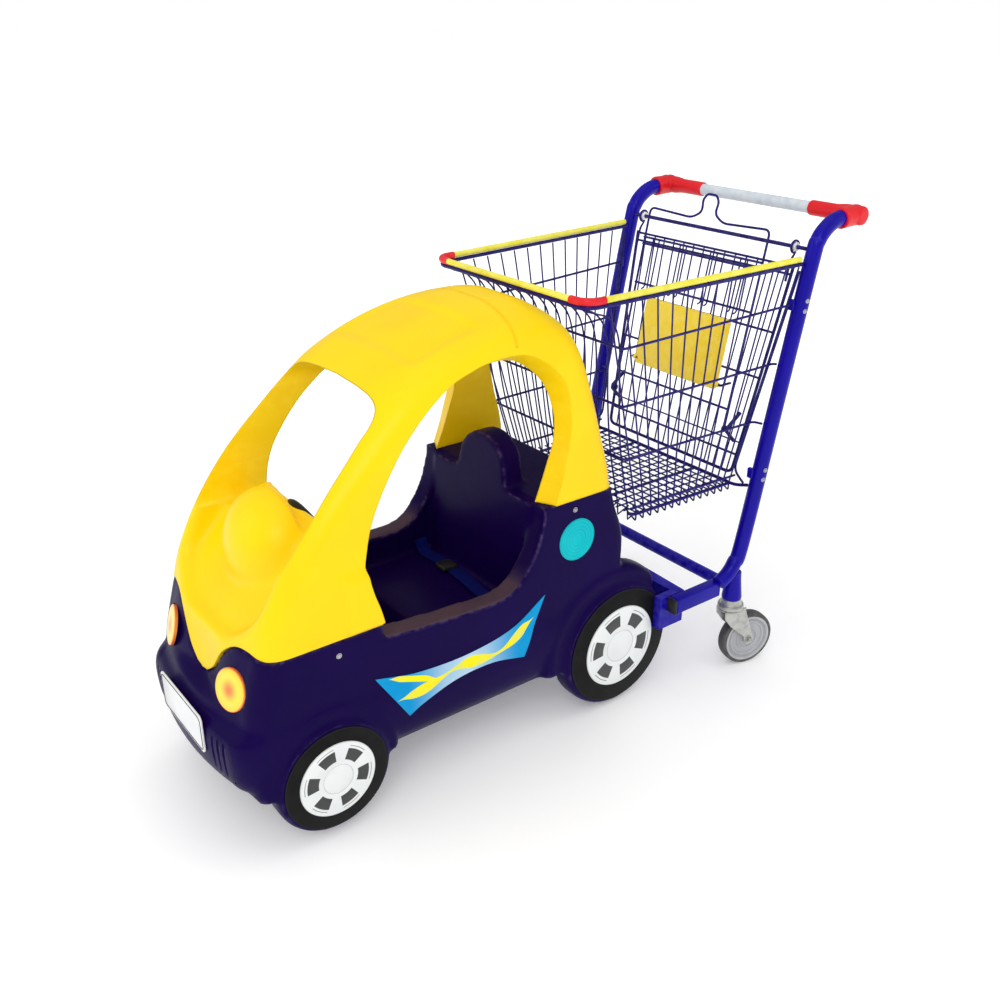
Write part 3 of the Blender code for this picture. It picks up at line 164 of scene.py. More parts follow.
# ---------------------------------------------------------------- materials
class Finish:
    """A procedural material: a Principled shader with helpers that add detail to it."""

    def __init__(self, name, colour, roughness, metallic=0.0, coat=0.0):
        self.material = bpy.data.materials.new(name)
        self.material.use_nodes = True
        self.tree = self.material.node_tree
        self.shader = self.tree.nodes["Principled BSDF"]
        self.shader.inputs["Base Color"].default_value = (*colour, 1.0)
        self.shader.inputs["Roughness"].default_value = roughness
        self.shader.inputs["Metallic"].default_value = metallic
        self.shader.inputs["Coat Weight"].default_value = coat
        self.shader.inputs["Coat Roughness"].default_value = 0.12
        self.colour = self.value_of((*colour, 1.0))
        self.rough = self.value_of(roughness)
        self.height = None
        self.place = self.node("ShaderNodeNewGeometry").outputs["Position"]

    def node(self, kind, **settings):
        made = self.tree.nodes.new(kind)
        for key, value in settings.items():
            setattr(made, key, value)
        return made

    def link(self, source, target):
        self.tree.links.new(source, target)

    def value_of(self, constant):
        if isinstance(constant, tuple):
            made = self.node("ShaderNodeRGB")
            made.outputs[0].default_value = constant
        else:
            made = self.node("ShaderNodeValue")
            made.outputs[0].default_value = constant
        return made.outputs[0]

    def math(self, operation, a, b=None, c=None, clamp=False):
        made = self.node("ShaderNodeMath", operation=operation, use_clamp=clamp)
        for socket, value in zip(made.inputs, (a, b, c)):
            if value is None:
                continue
            if isinstance(value, (int, float)):
                socket.default_value = value
            else:
                self.link(value, socket)
        return made.outputs[0]

    def smooth(self, value, start, end):
        """0 below start, 1 above end, smooth between."""
        made = self.node("ShaderNodeMapRange", interpolation_type="SMOOTHSTEP")
        self.link(value, made.inputs["Value"])
        made.inputs["From Min"].default_value = start
        made.inputs["From Max"].default_value = end
        return made.outputs["Result"]

    def noise(self, scale, detail=2.0):
        made = self.node("ShaderNodeTexNoise")
        made.inputs["Scale"].default_value = scale
        made.inputs["Detail"].default_value = detail
        self.link(self.place, made.inputs["Vector"])
        return made.outputs["Fac"]

    def mix(self, factor, colour):
        """Mix a colour over what is there, by a factor from 0 to 1."""
        made = self.node("ShaderNodeMix", data_type="RGBA")
        if isinstance(factor, (int, float)):
            made.inputs["Factor"].default_value = factor
        else:
            self.link(factor, made.inputs["Factor"])
        self.link(self.colour, made.inputs["A"])
        if isinstance(colour, tuple):
            made.inputs["B"].default_value = (*colour, 1.0)
        else:
            self.link(colour, made.inputs["B"])
        self.colour = made.outputs["Result"]
        return self

    def roughen(self, amount):
        self.rough = self.math("ADD", self.rough, amount, clamp=True)
        return self

    def raise_by(self, height):
        self.height = height if self.height is None else self.math("ADD", self.height, height)
        return self

    def mottled(self, colour, scale=9.0, strength=0.5):
        """Uneven colour, as a moulding or a much handled coat shows."""
        patch = self.smooth(self.noise(scale, 3.0), 0.42, 0.68)
        return self.mix(self.math("MULTIPLY", patch, strength), colour)

    def wear_and_edge_sheen(self, colour, strength=0.6, start=0.515, end=0.56):
        """A paler or darker colour on convex edges. Rubbed and chipped edges on some finishes; on the purple
        body mostly a painted highlight.
        """
        edge = self.smooth(self.node("ShaderNodeNewGeometry").outputs["Pointiness"], start, end)
        broken = self.smooth(self.noise(55.0, 3.0), 0.35, 0.65)
        both = self.math("MULTIPLY", self.math("MULTIPLY", edge, broken), strength)
        self.roughen(self.math("MULTIPLY", both, 0.3))
        return self.mix(both, colour)

    def peel(self, scale=260.0, height=0.25):
        """The fine orange peel of powder coat and moulded skin."""
        return self.raise_by(self.math("MULTIPLY", self.noise(scale, 2.0), height))

    def less_shiny(self, level):
        self.shader.inputs["Specular IOR Level"].default_value = level
        return self

    def done(self, bump_distance=0.0006, bump_strength=0.35, edge_radius=0.0):
        self.link(self.colour, self.shader.inputs["Base Color"])
        self.link(self.rough, self.shader.inputs["Roughness"])
        if self.height is not None:
            bump = self.node("ShaderNodeBump")
            bump.inputs["Distance"].default_value = bump_distance
            bump.inputs["Strength"].default_value = bump_strength
            self.link(self.height, bump.inputs["Height"])
            if edge_radius:
                soft_edge = self.node("ShaderNodeBevel")
                soft_edge.inputs["Radius"].default_value = edge_radius
                self.link(soft_edge.outputs["Normal"], bump.inputs["Normal"])
            self.link(bump.outputs["Normal"], self.shader.inputs["Normal"])
        return self.material


def powder_coat(name, colour, dark, chip, shine=0.30, coat=0.12):
    finish = Finish(name, colour, 0.27, coat=coat)
    finish.less_shiny(shine)
    finish.mottled(dark, 14.0, 0.35)
    finish.wear_and_edge_sheen(chip, 0.45, 0.53, 0.60)
    finish.roughen(finish.math("MULTIPLY", finish.noise(30.0, 3.0), 0.12))
    finish.peel(420.0, 0.30)
    return finish.done(0.0004, 0.30)


def sill_top_sheen(finish):
    """A painted highlight: a dull grey sheen on top of the door sills, where they face up."""
    facing = finish.node("ShaderNodeSeparateXYZ")
    finish.link(finish.node("ShaderNodeNewGeometry").outputs["Normal"], facing.inputs[0])
    place = finish.node("ShaderNodeSeparateXYZ")
    finish.link(finish.place, place.inputs[0])
    upward = finish.smooth(facing.outputs[2], 0.55, 0.85)
    outboard = finish.smooth(finish.math("ABSOLUTE", place.outputs[1]), 0.150, 0.158)
    sill = finish.math("MULTIPLY", band(finish, place.outputs[2], 0.330, 0.385, 0.008), outboard)
    uneven = finish.math("MULTIPLY_ADD", finish.noise(16.0, 3.0), 0.6, 0.45, clamp=True)
    # Painted sheen colour, mixed in where the sill tops face upward.
    finish.mix(finish.math("MULTIPLY", finish.math("MULTIPLY", upward, sill), uneven), (0.085, 0.052, 0.062))


def moulded(name, colour, shade, edge, roughness, peel_scale=230.0, edge_sheen_and_wear=0.4, coat=0.20, bump=0.30,
            shine=0.5, edge_radius=0.0, sill_sheen=False):
    finish = Finish(name, colour, roughness, coat=coat)
    finish.less_shiny(shine)
    finish.mottled(shade, 6.0, 0.45)
    # Edge colour: rubbed edges, and on the purple body mostly a painted highlight along the edges.
    finish.wear_and_edge_sheen(edge, edge_sheen_and_wear)
    # Painted highlight: a grey sheen on the tops of the sills.
    if sill_sheen:
        sill_top_sheen(finish)
    finish.roughen(finish.math("MULTIPLY", finish.noise(22.0, 4.0), 0.14))
    finish.peel(peel_scale, 0.55)
    finish.raise_by(finish.math("MULTIPLY", finish.noise(45.0, 2.0), 0.9))
    return finish.done(0.0006, bump, edge_radius)


def galvanised():
    """Zinc plate: pale grey with crystal patches and duller spots."""
    finish = Finish("galvanised", (0.50, 0.51, 0.49), 0.36, metallic=0.85)
    crystal = finish.node("ShaderNodeTexVoronoi")
    crystal.inputs["Scale"].default_value = 140.0
    finish.link(finish.place, crystal.inputs["Vector"])
    grey = finish.node("ShaderNodeSeparateColor")
    finish.link(crystal.outputs["Color"], grey.inputs[0])
    finish.mix(finish.math("MULTIPLY", grey.outputs[0], 0.45), (0.72, 0.72, 0.68))
    finish.mottled((0.30, 0.29, 0.26), 60.0, 0.45)
    finish.roughen(finish.math("MULTIPLY", grey.outputs[0], 0.16))
    finish.peel(300.0, 0.4)
    return finish.done(0.0003, 0.25)


def rubber():
    finish = Finish("tread_rubber", (0.045, 0.047, 0.050), 0.62)
    finish.mottled((0.13, 0.125, 0.12), 40.0, 0.55)
    finish.wear_and_edge_sheen((0.16, 0.155, 0.15), 0.5, 0.51, 0.56)
    finish.peel(500.0, 0.6)
    return finish.done(0.0004, 0.4)


def centred(finish, centre):
    """Distance from a centre line along Y, and the angle round it, as node outputs."""
    parts = finish.node("ShaderNodeSeparateXYZ")
    texture_place = finish.node("ShaderNodeTexCoord").outputs["Object"]
    finish.link(texture_place, parts.inputs[0])
    x = finish.math("SUBTRACT", parts.outputs[0], centre.x)
    z = finish.math("SUBTRACT", parts.outputs[2], centre.z)
    square = finish.math("ADD", finish.math("MULTIPLY", x, x), finish.math("MULTIPLY", z, z))
    return finish.math("SQRT", square), finish.math("ARCTAN2", z, x)


def band(finish, value, start, end, soft):
    """1 between start and end, with soft edges."""
    inside = finish.smooth(value, start - soft, start + soft)
    beyond = finish.smooth(value, end - soft, end + soft)
    return finish.math("SUBTRACT", inside, beyond, clamp=True)


def hubcap_print(name, centre, radius, phase):
    """A white printed hubcap: six dark windows, thin arcs outside them and a fine centre ring."""
    finish = Finish(name, (0.80, 0.82, 0.82), 0.34, coat=0.3)
    finish.mottled((0.66, 0.69, 0.70), 18.0, 0.35)
    distance, angle = centred(finish, centre)
    share = finish.math("DIVIDE", distance, radius)
    turn = finish.math("ADD", angle, phase + 4 * math.pi)
    sector = finish.math("MODULO", turn, math.pi / 3)
    off = finish.math("ABSOLUTE", finish.math("SUBTRACT", sector, math.pi / 6))
    across = finish.math("MULTIPLY", off, share)
    taper = finish.math("MULTIPLY_ADD", share, 0.27, 0.020)
    window = finish.math("LESS_THAN", across, taper)
    window = finish.math("MULTIPLY", window, band(finish, share, 0.52, 0.82, 0.008))
    arc = finish.math("LESS_THAN", off, 0.27)
    arc = finish.math("MULTIPLY", arc, band(finish, share, 0.875, 0.895, 0.005))
    ring = band(finish, share, 0.385, 0.400, 0.005)
    rim = finish.smooth(share, 0.975, 0.985)
    finish.mix(window, (0.018, 0.020, 0.020))
    finish.mix(finish.math("MULTIPLY", arc, 0.75), (0.05, 0.055, 0.055))
    finish.mix(finish.math("MULTIPLY", ring, 0.55), (0.22, 0.25, 0.25))
    finish.mix(finish.math("MULTIPLY", rim, 0.5), (0.45, 0.47, 0.47))
    finish.peel(350.0, 0.3)
    return finish.done(0.0003, 0.2)


def tyre_print(name, centre, radius):
    """A printed black side wall, paler in a thin ring at its edge."""
    finish = Finish(name, (0.004, 0.0042, 0.0040), 0.50, coat=0.0)
    finish.less_shiny(0.12)
    distance, _ = centred(finish, centre)
    share = finish.math("DIVIDE", distance, radius)
    finish.mix(finish.math("MULTIPLY", finish.smooth(share, 0.975, 1.0), 0.5), (0.03, 0.03, 0.03))
    finish.mottled((0.010, 0.010, 0.010), 28.0, 0.5)
    finish.peel(380.0, 0.4)
    return finish.done(0.0004, 0.3)


def lamp_print(name, centre, axis, radius):
    """A printed lamp: orange-red heart, yellow field and a thin red-orange rim."""
    finish = Finish(name, (1.0, 0.70, 0.02), 0.30, coat=0.4)
    place = finish.node("ShaderNodeTexCoord").outputs["Object"]
    off = finish.node("ShaderNodeVectorMath", operation="SUBTRACT")
    finish.link(place, off.inputs[0])
    off.inputs[1].default_value = centre
    along = finish.node("ShaderNodeVectorMath", operation="DOT_PRODUCT")
    finish.link(off.outputs[0], along.inputs[0])
    along.inputs[1].default_value = axis
    length = finish.node("ShaderNodeVectorMath", operation="LENGTH")
    finish.link(off.outputs[0], length.inputs[0])
    long_square = finish.math("MULTIPLY", length.outputs["Value"], length.outputs["Value"])
    along_square = finish.math("MULTIPLY", along.outputs["Value"], along.outputs["Value"])
    across_square = finish.math("MAXIMUM", finish.math("SUBTRACT", long_square, along_square), 0.0)
    across = finish.math("SQRT", across_square)
    share = finish.math("DIVIDE", across, radius)
    heart = finish.math("SUBTRACT", 1.0, finish.smooth(share, 0.05, 0.62))
    finish.mix(finish.math("MULTIPLY", finish.smooth(share, 0.66, 0.95), 0.35), (1.0, 0.42, 0.01))
    finish.mix(heart, (0.95, 0.17, 0.012))
    finish.mix(finish.smooth(share, 0.92, 0.96), (0.84, 0.16, 0.02))
    finish.mottled((1.0, 0.75, 0.05), 20.0, 0.15)
    finish.peel(300.0, 0.3)
    return finish.done(0.0003, 0.2)


def filler_cap_print(centre, radius):
    """A turquoise disc with fine concentric rings."""
    finish = Finish("filler_cap_print", (0.001, 0.49, 0.55), 0.36, coat=0.0)
    finish.less_shiny(0.08)
    distance, _ = centred(finish, centre)
    share = finish.math("DIVIDE", distance, radius)
    for place in (0.30, 0.46, 0.62, 0.78, 0.93):
        finish.mix(finish.math("MULTIPLY", band(finish, share, place, place + 0.035, 0.012), 0.55),
                   (0.001, 0.27, 0.33))
    finish.mottled((0.01, 0.58, 0.60), 30.0, 0.3)
    finish.peel(320.0, 0.3)
    return finish.done(0.0003, 0.2)


def side_graphic_print(x_start, x_end, z_low, z_high):
    """Cyan blue fading to white in the middle, with a plain yellow ribbon along it."""
    finish = Finish("side_graphic_print", (0.001, 0.29, 0.62), 0.34, coat=0.0)
    finish.less_shiny(0.08)
    parts = finish.node("ShaderNodeSeparateXYZ")
    finish.link(finish.node("ShaderNodeTexCoord").outputs["Object"], parts.inputs[0])
    along = finish.math("DIVIDE", finish.math("SUBTRACT", parts.outputs[0], x_start), x_end - x_start)
    up = finish.math("DIVIDE", finish.math("SUBTRACT", parts.outputs[2], z_low), z_high - z_low)
    from_middle = finish.math("ABSOLUTE", finish.math("SUBTRACT", along, 0.5))
    glow = finish.math("SUBTRACT", 1.0, finish.smooth(from_middle, 0.02, 0.34))
    finish.mix(finish.math("MULTIPLY", glow, 0.9), (0.50, 0.66, 0.78))
    rear_bend = finish.math("MAXIMUM", finish.math("SUBTRACT", 0.36, along), 0.0)
    rear_lift = finish.math("MULTIPLY", finish.math("MULTIPLY", rear_bend, rear_bend), 3.4)
    nose_bend = finish.math("MAXIMUM", finish.math("SUBTRACT", along, 0.58), 0.0)
    nose_dip = finish.math("MULTIPLY", nose_bend, -0.42)
    wave = finish.math("MULTIPLY", finish.math("SINE", finish.math("MULTIPLY", along, 15.0)), 0.022)
    line = finish.math("ADD", finish.math("ADD", rear_lift, nose_dip), finish.math("ADD", wave, 0.42))
    swell = finish.math("SINE", finish.math("MULTIPLY", along, 10.5))
    leaf = finish.math("MULTIPLY_ADD", finish.math("MULTIPLY", swell, swell), 0.062, 0.020)
    taper = band(finish, along, 0.11, 0.86, 0.045)
    off = finish.math("ABSOLUTE", finish.math("SUBTRACT", up, line))
    ribbon = finish.math("LESS_THAN", off, finish.math("MULTIPLY", leaf, taper))
    branch_line = finish.math("MULTIPLY_ADD", finish.math("SUBTRACT", along, 0.66), 0.95, 0.40)
    branch_off = finish.math("ABSOLUTE", finish.math("SUBTRACT", up, branch_line))
    branch_half = finish.math("MULTIPLY", band(finish, along, 0.70, 0.90, 0.035), 0.042)
    branch = finish.math("LESS_THAN", branch_off, branch_half)
    finish.mix(finish.math("MAXIMUM", ribbon, branch), (0.90, 0.80, 0.01))
    finish.mottled((0.02, 0.45, 0.75), 25.0, 0.15)
    finish.peel(320.0, 0.3)
    return finish.done(0.0003, 0.2)


def webbing():
    """Woven blue belt: fine ribs across the strap."""
    finish = Finish("belt_webbing", (0.001, 0.004, 0.11), 0.85)
    finish.less_shiny(0.1)
    weave = finish.node("ShaderNodeTexWave", bands_direction="Y")
    weave.inputs["Scale"].default_value = 220.0
    weave.inputs["Distortion"].default_value = 0.6
    finish.link(finish.place, weave.inputs["Vector"])
    finish.mix(finish.math("MULTIPLY", weave.outputs["Fac"], 0.4), (0.002, 0.006, 0.13))
    finish.raise_by(weave.outputs["Fac"])
    return finish.done(0.0006, 0.6)


def floor_finish():
    """Pale near the cart and glowing pure white further off."""
    finish = Finish("studio_floor", (0.93, 0.93, 0.935), 0.80)
    finish.mottled((0.915, 0.915, 0.92), 1.5, 0.4)
    distance = finish.node("ShaderNodeVectorMath", operation="LENGTH")
    finish.link(finish.node("ShaderNodeTexCoord").outputs["Object"], distance.inputs[0])
    glow = finish.math("MULTIPLY_ADD", finish.smooth(distance.outputs["Value"], 1.0, 2.6), 0.35, 0.16)
    finish.shader.inputs["Emission Color"].default_value = (1.0, 1.0, 1.0, 1.0)
    finish.link(glow, finish.shader.inputs["Emission Strength"])
    return finish.done()


FRAME_BLUE = powder_coat("frame_blue", (0.006, 0.001, 0.31), (0.004, 0.001, 0.21), (0.05, 0.04, 0.46),
                         0.14, 0.05)
WIRE_NAVY = powder_coat("wire_navy", (0.010, 0.004, 0.13), (0.006, 0.003, 0.08), (0.05, 0.05, 0.22),
                        0.16, 0.04)
HANDLE_GREY = powder_coat("handle_grey", (0.57, 0.63, 0.69), (0.47, 0.53, 0.60), (0.75, 0.78, 0.80))
RED = moulded("red_plastic", (0.74, 0.005, 0.012), (0.58, 0.004, 0.010), (0.90, 0.08, 0.08), 0.34, edge_sheen_and_wear=0.3,
              coat=0.08, shine=0.28)
RIM_YELLOW = moulded("rim_yellow", (0.80, 0.74, 0.05), (0.68, 0.60, 0.04), (0.92, 0.88, 0.25), 0.42,
                     coat=0.05, shine=0.28)
WHITE = moulded("white_plastic", (0.80, 0.81, 0.82), (0.66, 0.67, 0.68), (0.9, 0.9, 0.9), 0.38)
ZINC = galvanised()
PALE_GREY = moulded("pale_grey_plastic", (0.42, 0.43, 0.45), (0.33, 0.34, 0.36), (0.55, 0.56, 0.58), 0.46)
TREAD = rubber()
# The pale edge colour and its strength paint a highlight along the body's edges, with some rubbing; the sill
# option paints a sheen on the sill tops.
PURPLE = moulded("body_purple", (0.0062, 0.0006, 0.048), (0.009, 0.001, 0.064), (0.095, 0.065, 0.16), 0.29,
                 peel_scale=190.0, edge_sheen_and_wear=0.85, coat=0.02, bump=0.38, shine=0.042, sill_sheen=True)
YELLOW = moulded("canopy_yellow", (0.97, 0.655, 0.001), (0.91, 0.585, 0.002), (1.0, 0.78, 0.03), 0.32,
                 peel_scale=150.0, edge_sheen_and_wear=0.30, coat=0.05, bump=0.30, shine=0.16, edge_radius=0.0045)
FLAP_YELLOW = moulded("flap_yellow", (0.98, 0.70, 0.010), (0.90, 0.60, 0.01), (1.0, 0.85, 0.2), 0.36)
BLACK = moulded("black_plastic", (0.009, 0.009, 0.009), (0.015, 0.015, 0.015), (0.05, 0.05, 0.05), 0.42,
                coat=0.05, shine=0.3)
BELT = webbing()


# ---------------------------------------------------------------- mesh helpers
def mesh_of(work):
    """A mesh from a bmesh, which is then freed."""
    mesh = bpy.data.meshes.new("made")
    work.to_mesh(mesh)
    work.free()
    return mesh


def shown(name, mesh, finish, body, *replaced, sharp=35):
    """Link a mesh as a finished piece that rides on a body and may stand for CAD nodes."""
    piece = bpy.data.objects.new(name, mesh)
    bpy.context.scene.collection.objects.link(piece)
    mesh.materials.clear()
    mesh.materials.append(finish)
    mesh.shade_smooth()
    if sharp:
        mesh.set_sharp_from_angle(angle=math.radians(sharp))
    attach(piece, body)
    if replaced:
        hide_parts(*replaced)
    return piece


def baked(item):
    """The evaluated mesh of an object, which is then removed."""
    bpy.context.view_layer.update()
    seen = item.evaluated_get(bpy.context.evaluated_depsgraph_get())
    mesh = bpy.data.meshes.new_from_object(seen)
    mesh.transform(item.matrix_world)
    bpy.data.objects.remove(item)
    return mesh


def raw(mesh):
    item = bpy.data.objects.new("raw", mesh)
    bpy.context.scene.collection.objects.link(item)
    return item


def welded(mesh, distance=0.00001):
    work = bmesh.new()
    work.from_mesh(mesh)
    bmesh.ops.remove_doubles(work, verts=work.verts, dist=distance)
    bmesh.ops.recalc_face_normals(work, faces=work.faces)
    work.to_mesh(mesh)
    work.free()
    return mesh


def joined(meshes):
    """Several meshes as one."""
    work = bmesh.new()
    for mesh in meshes:
        work.from_mesh(mesh)
    return mesh_of(work)


def less(mesh, cutters):
    """The mesh with each cutter taken away."""
    item = raw(mesh)
    tools = [raw(cutter) for cutter in cutters]
    for tool in tools:
        step = item.modifiers.new("cut", "BOOLEAN")
        step.operation = "DIFFERENCE"
        step.object = tool
    result = baked(item)
    for tool in tools:
        bpy.data.objects.remove(tool)
    return result


def common(mesh, other):
    """What two solids share."""
    item = raw(mesh)
    tool = raw(other)
    step = item.modifiers.new("shared", "BOOLEAN")
    step.operation = "INTERSECT"
    step.object = tool
    result = baked(item)
    bpy.data.objects.remove(tool)
    return result


def surface_of(mesh):
    """A tree of the mesh's faces, for finding points on them."""
    corners = [vertex.co.copy() for vertex in mesh.vertices]
    return BVHTree.FromPolygons(corners, [tuple(face.vertices) for face in mesh.polygons])


def fused(mesh, voxel, rounds, factor=0.5):
    """Overlapping solids remeshed into one skin whose edges are softly rounded."""
    item = raw(mesh)
    remesh = item.modifiers.new("skin", "REMESH")
    remesh.mode = "VOXEL"
    remesh.voxel_size = voxel
    soften = item.modifiers.new("soften", "SMOOTH")
    soften.factor = factor
    soften.iterations = rounds
    return baked(item)


def bevelled(mesh, width, segments=3, angle=30):
    item = raw(mesh)
    step = item.modifiers.new("edges", "BEVEL")
    step.width = width
    step.segments = segments
    step.limit_method = "ANGLE"
    step.angle_limit = math.radians(angle)
    return baked(item)


def thickened(mesh, thickness, offset):
    """A sheet made solid; offset 0 grows it both ways and 1 along its normals."""
    item = raw(mesh)
    step = item.modifiers.new("thickness", "SOLIDIFY")
    step.thickness = thickness
    step.offset = offset
    return baked(item)


def strip_faces(work, rows):
    """Faces between neighbouring rows of vertices."""
    for a, b in zip(rows, rows[1:]):
        for step in range(len(a) - 1):
            work.faces.new((a[step], a[step + 1], b[step + 1], b[step]))


def rounded_rectangle(low_corner, high_corner, radius, steps):
    """A flat rectangle with round corners, starting at its right lower one."""
    left, bottom = (value + radius for value in low_corner)
    right, top = (value - radius for value in high_corner)
    outline = []
    for x, y, start in ((right, bottom, 270), (right, top, 0), (left, top, 90), (left, bottom, 180)):
        for step in range(steps + 1):
            angle = math.radians(start + 90 * step / steps)
            outline.append((x + radius * math.cos(angle), y + radius * math.sin(angle)))
    return outline


def tubes(strands, sides=3):
    """One mesh of round, capped tubes; a strand is (radius, points)."""
    unit = 0.001
    curve = bpy.data.curves.new("tubes", "CURVE")
    curve.dimensions = "3D"
    curve.bevel_depth = unit
    curve.bevel_resolution = sides
    curve.use_fill_caps = True
    for radius, points in strands:
        spline = curve.splines.new("POLY")
        spline.points.add(len(points) - 1)
        for place, point in zip(spline.points, points):
            place.co = (*point, 1.0)
            place.radius = radius / unit
    return welded(baked(raw(curve)))


def ring_faces(work, a, b):
    """Faces between two rings of equally many vertices."""
    for step, corner in enumerate(a):
        after = (step + 1) % len(a)
        work.faces.new((corner, a[after], b[after], b[step]))


def lathe(profile, start, axis, segments=64, closed=False):
    """A turned solid: profile of (radius, distance along the axis) about a line from start."""
    axis = Vector(axis).normalized()
    turn = axis.to_track_quat("Z", "Y").to_matrix()
    work = bmesh.new()
    rings = []
    for radius, along in profile:
        ring = []
        for step in range(segments):
            angle = 2 * math.pi * step / segments
            local = Vector((radius * math.cos(angle), radius * math.sin(angle), along))
            ring.append(work.verts.new(Vector(start) + turn @ local))
        rings.append(ring)
    pairs = list(zip(rings, rings[1:]))
    if closed:
        pairs.append((rings[-1], rings[0]))
    for a, b in pairs:
        ring_faces(work, a, b)
    if not closed:
        work.faces.new(rings[0])
        work.faces.new(rings[-1])
    bmesh.ops.recalc_face_normals(work, faces=work.faces)
    return mesh_of(work)


def slab(outline, start, end, normal="Y"):
    """A flat outline in the other two axes, made solid from start to end along the normal."""
    curve = bpy.data.curves.new("outline", "CURVE")
    curve.dimensions = "2D"
    curve.fill_mode = "BOTH"
    curve.extrude = abs(end - start) / 2
    spline = curve.splines.new("POLY")
    spline.points.add(len(outline) - 1)
    spline.use_cyclic_u = True
    for place, point in zip(spline.points, outline):
        place.co = (point[0], point[1], 0.0, 1.0)
    item = raw(curve)
    centre = (start + end) / 2
    turns = {
        "X": Matrix(((0, 0, 1, centre), (1, 0, 0, 0), (0, 1, 0, 0), (0, 0, 0, 1))),
        "Y": Matrix(((1, 0, 0, 0), (0, 0, -1, centre), (0, 1, 0, 0), (0, 0, 0, 1))),
        "Z": Matrix(((1, 0, 0, 0), (0, 1, 0, 0), (0, 0, 1, centre), (0, 0, 0, 1))),
    }
    item.matrix_world = turns[normal]
    return welded(baked(item))


def placed(work, size, centre):
    """A unit shape stretched to a size and moved to its centre."""
    bmesh.ops.transform(work, verts=work.verts, matrix=Matrix.Diagonal((*size, 1.0)))
    bmesh.ops.translate(work, verts=work.verts, vec=centre)
    return mesh_of(work)


def block(low_corner, high_corner):
    work = bmesh.new()
    bmesh.ops.create_cube(work, size=1.0)
    size = [b - a for a, b in zip(low_corner, high_corner)]
    centre = [(a + b) / 2 for a, b in zip(low_corner, high_corner)]
    return placed(work, size, centre)


def ball(centre, radii):
    work = bmesh.new()
    bmesh.ops.create_uvsphere(work, u_segments=48, v_segments=32, radius=1.0)
    return placed(work, radii, centre)


def loft(loops):
    """A closed skin through rings of equally many points."""
    work = bmesh.new()
    rings = [[work.verts.new(point) for point in loop] for loop in loops]
    for a, b in zip(rings, rings[1:]):
        ring_faces(work, a, b)
    work.faces.new(rings[0])
    work.faces.new(rings[-1])
    bmesh.ops.recalc_face_normals(work, faces=work.faces)
    return mesh_of(work)


def sculpt(mesh, push):
    """Move each vertex by what push(points, normals) returns."""
    count = len(mesh.vertices)
    points = np.zeros(count * 3)
    mesh.vertices.foreach_get("co", points)
    points = points.reshape(-1, 3)
    normals = np.zeros(count * 3)
    mesh.vertices.foreach_get("normal", normals)
    moved = points + push(points, normals.reshape(-1, 3))
    mesh.vertices.foreach_set("co", moved.ravel())
    mesh.update()
    return mesh


# ---------------------------------------------------------------- push frame
def upright_path(side):
    y = side * UPRIGHT_Y
    foot = [(-0.385, y, 0.222), (-0.410, y, 0.236), (-0.428, y, 0.258)]
    straight = [(upright_x(z), y, z) for z in (0.30, 0.60, 0.88)]
    bend = [(-0.579, y, 0.923), (-0.601, y, 0.945), (-0.629, y, 0.957), (-0.668, y, 0.959)]
    return [Vector(p) for p in flowing(foot + straight + bend, 8)]


def push_frame():
    for name, side in SIDES.items():
        shown("upright_tube_" + name, tubes([(TUBE_R, upright_path(side))], 8), FRAME_BLUE, "cart",
              "upright_" + name)
        rail_low, rail_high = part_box("side_rail_" + name)
        rail = bevelled(block(rail_low, rail_high), 0.0035, 4)
        shown("rail_box_" + name, rail, FRAME_BLUE, "cart", "side_rail_" + name)
        plug_low, plug_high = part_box("rail_plug_" + name)
        plug = bevelled(block(plug_low, plug_high), 0.0022, 3)
        shown("rail_end_plug_" + name, plug, BLACK, "cart", "rail_plug_" + name)
        socket(name)
    bar_low, bar_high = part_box("rear_cross_bar")
    centre = (bar_low + bar_high) / 2
    radius = (bar_high.z - bar_low.z) / 2
    path = [(centre.x, bar_low.y, centre.z), (centre.x, bar_high.y, centre.z)]
    shown("cross_bar_tube", tubes([(radius, path)], 8), FRAME_BLUE, "cart", "rear_cross_bar")
    weld_beads()
    chassis()


def socket(name):
    """A tapered socket that blends into the upright, with a rolled lower edge."""
    foot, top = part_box("caster_socket_" + name)
    centre = (foot + top) / 2
    radius = (top.y - foot.y) / 2
    profile = [(radius - 0.004, 0.0), (radius - 0.001, 0.0006), (radius, 0.003), (radius - 0.0004, 0.008),
               (radius - 0.0020, 0.022), (radius - 0.0045, 0.045), (radius - 0.0058, 0.064)]
    mesh = lathe(profile, (centre.x, centre.y, foot.z), (0, 0, 1), 48)
    shown("socket_cone_" + name, mesh, FRAME_BLUE, "cart", "caster_socket_" + name)


def weld_beads():
    """Small welds where the cross bar meets the uprights' feet."""
    centre = middle("rear_cross_bar")
    for name, side in SIDES.items():
        end = high("rear_cross_bar").y - 0.001
        ring = []
        for step in range(25):
            angle = 2 * math.pi * step / 24
            reach = 0.0132
            ring.append(Vector((centre.x + reach * math.cos(angle), side * end,
                                centre.z + reach * math.sin(angle))))
        shown("cross_bar_weld_" + name, tubes([(0.0024, ring)], 3), FRAME_BLUE, "cart")


def chassis():
    """The rectangular tubes under the car, with bevelled corners."""
    mesh = bevelled(NODES["car_chassis"].data.copy(), 0.0025, 3, 40)
    shown("chassis_tubes", mesh, FRAME_BLUE, "cart", "car_chassis")
    for name, side in SIDES.items():
        for along in (-0.246, -0.264):
            place = (along, side * 0.2183, 0.208)
            bolt("bracket_bolt_%s_%d" % (name, round(-along * 1000)), place, (0, side, 0), 0.0055)


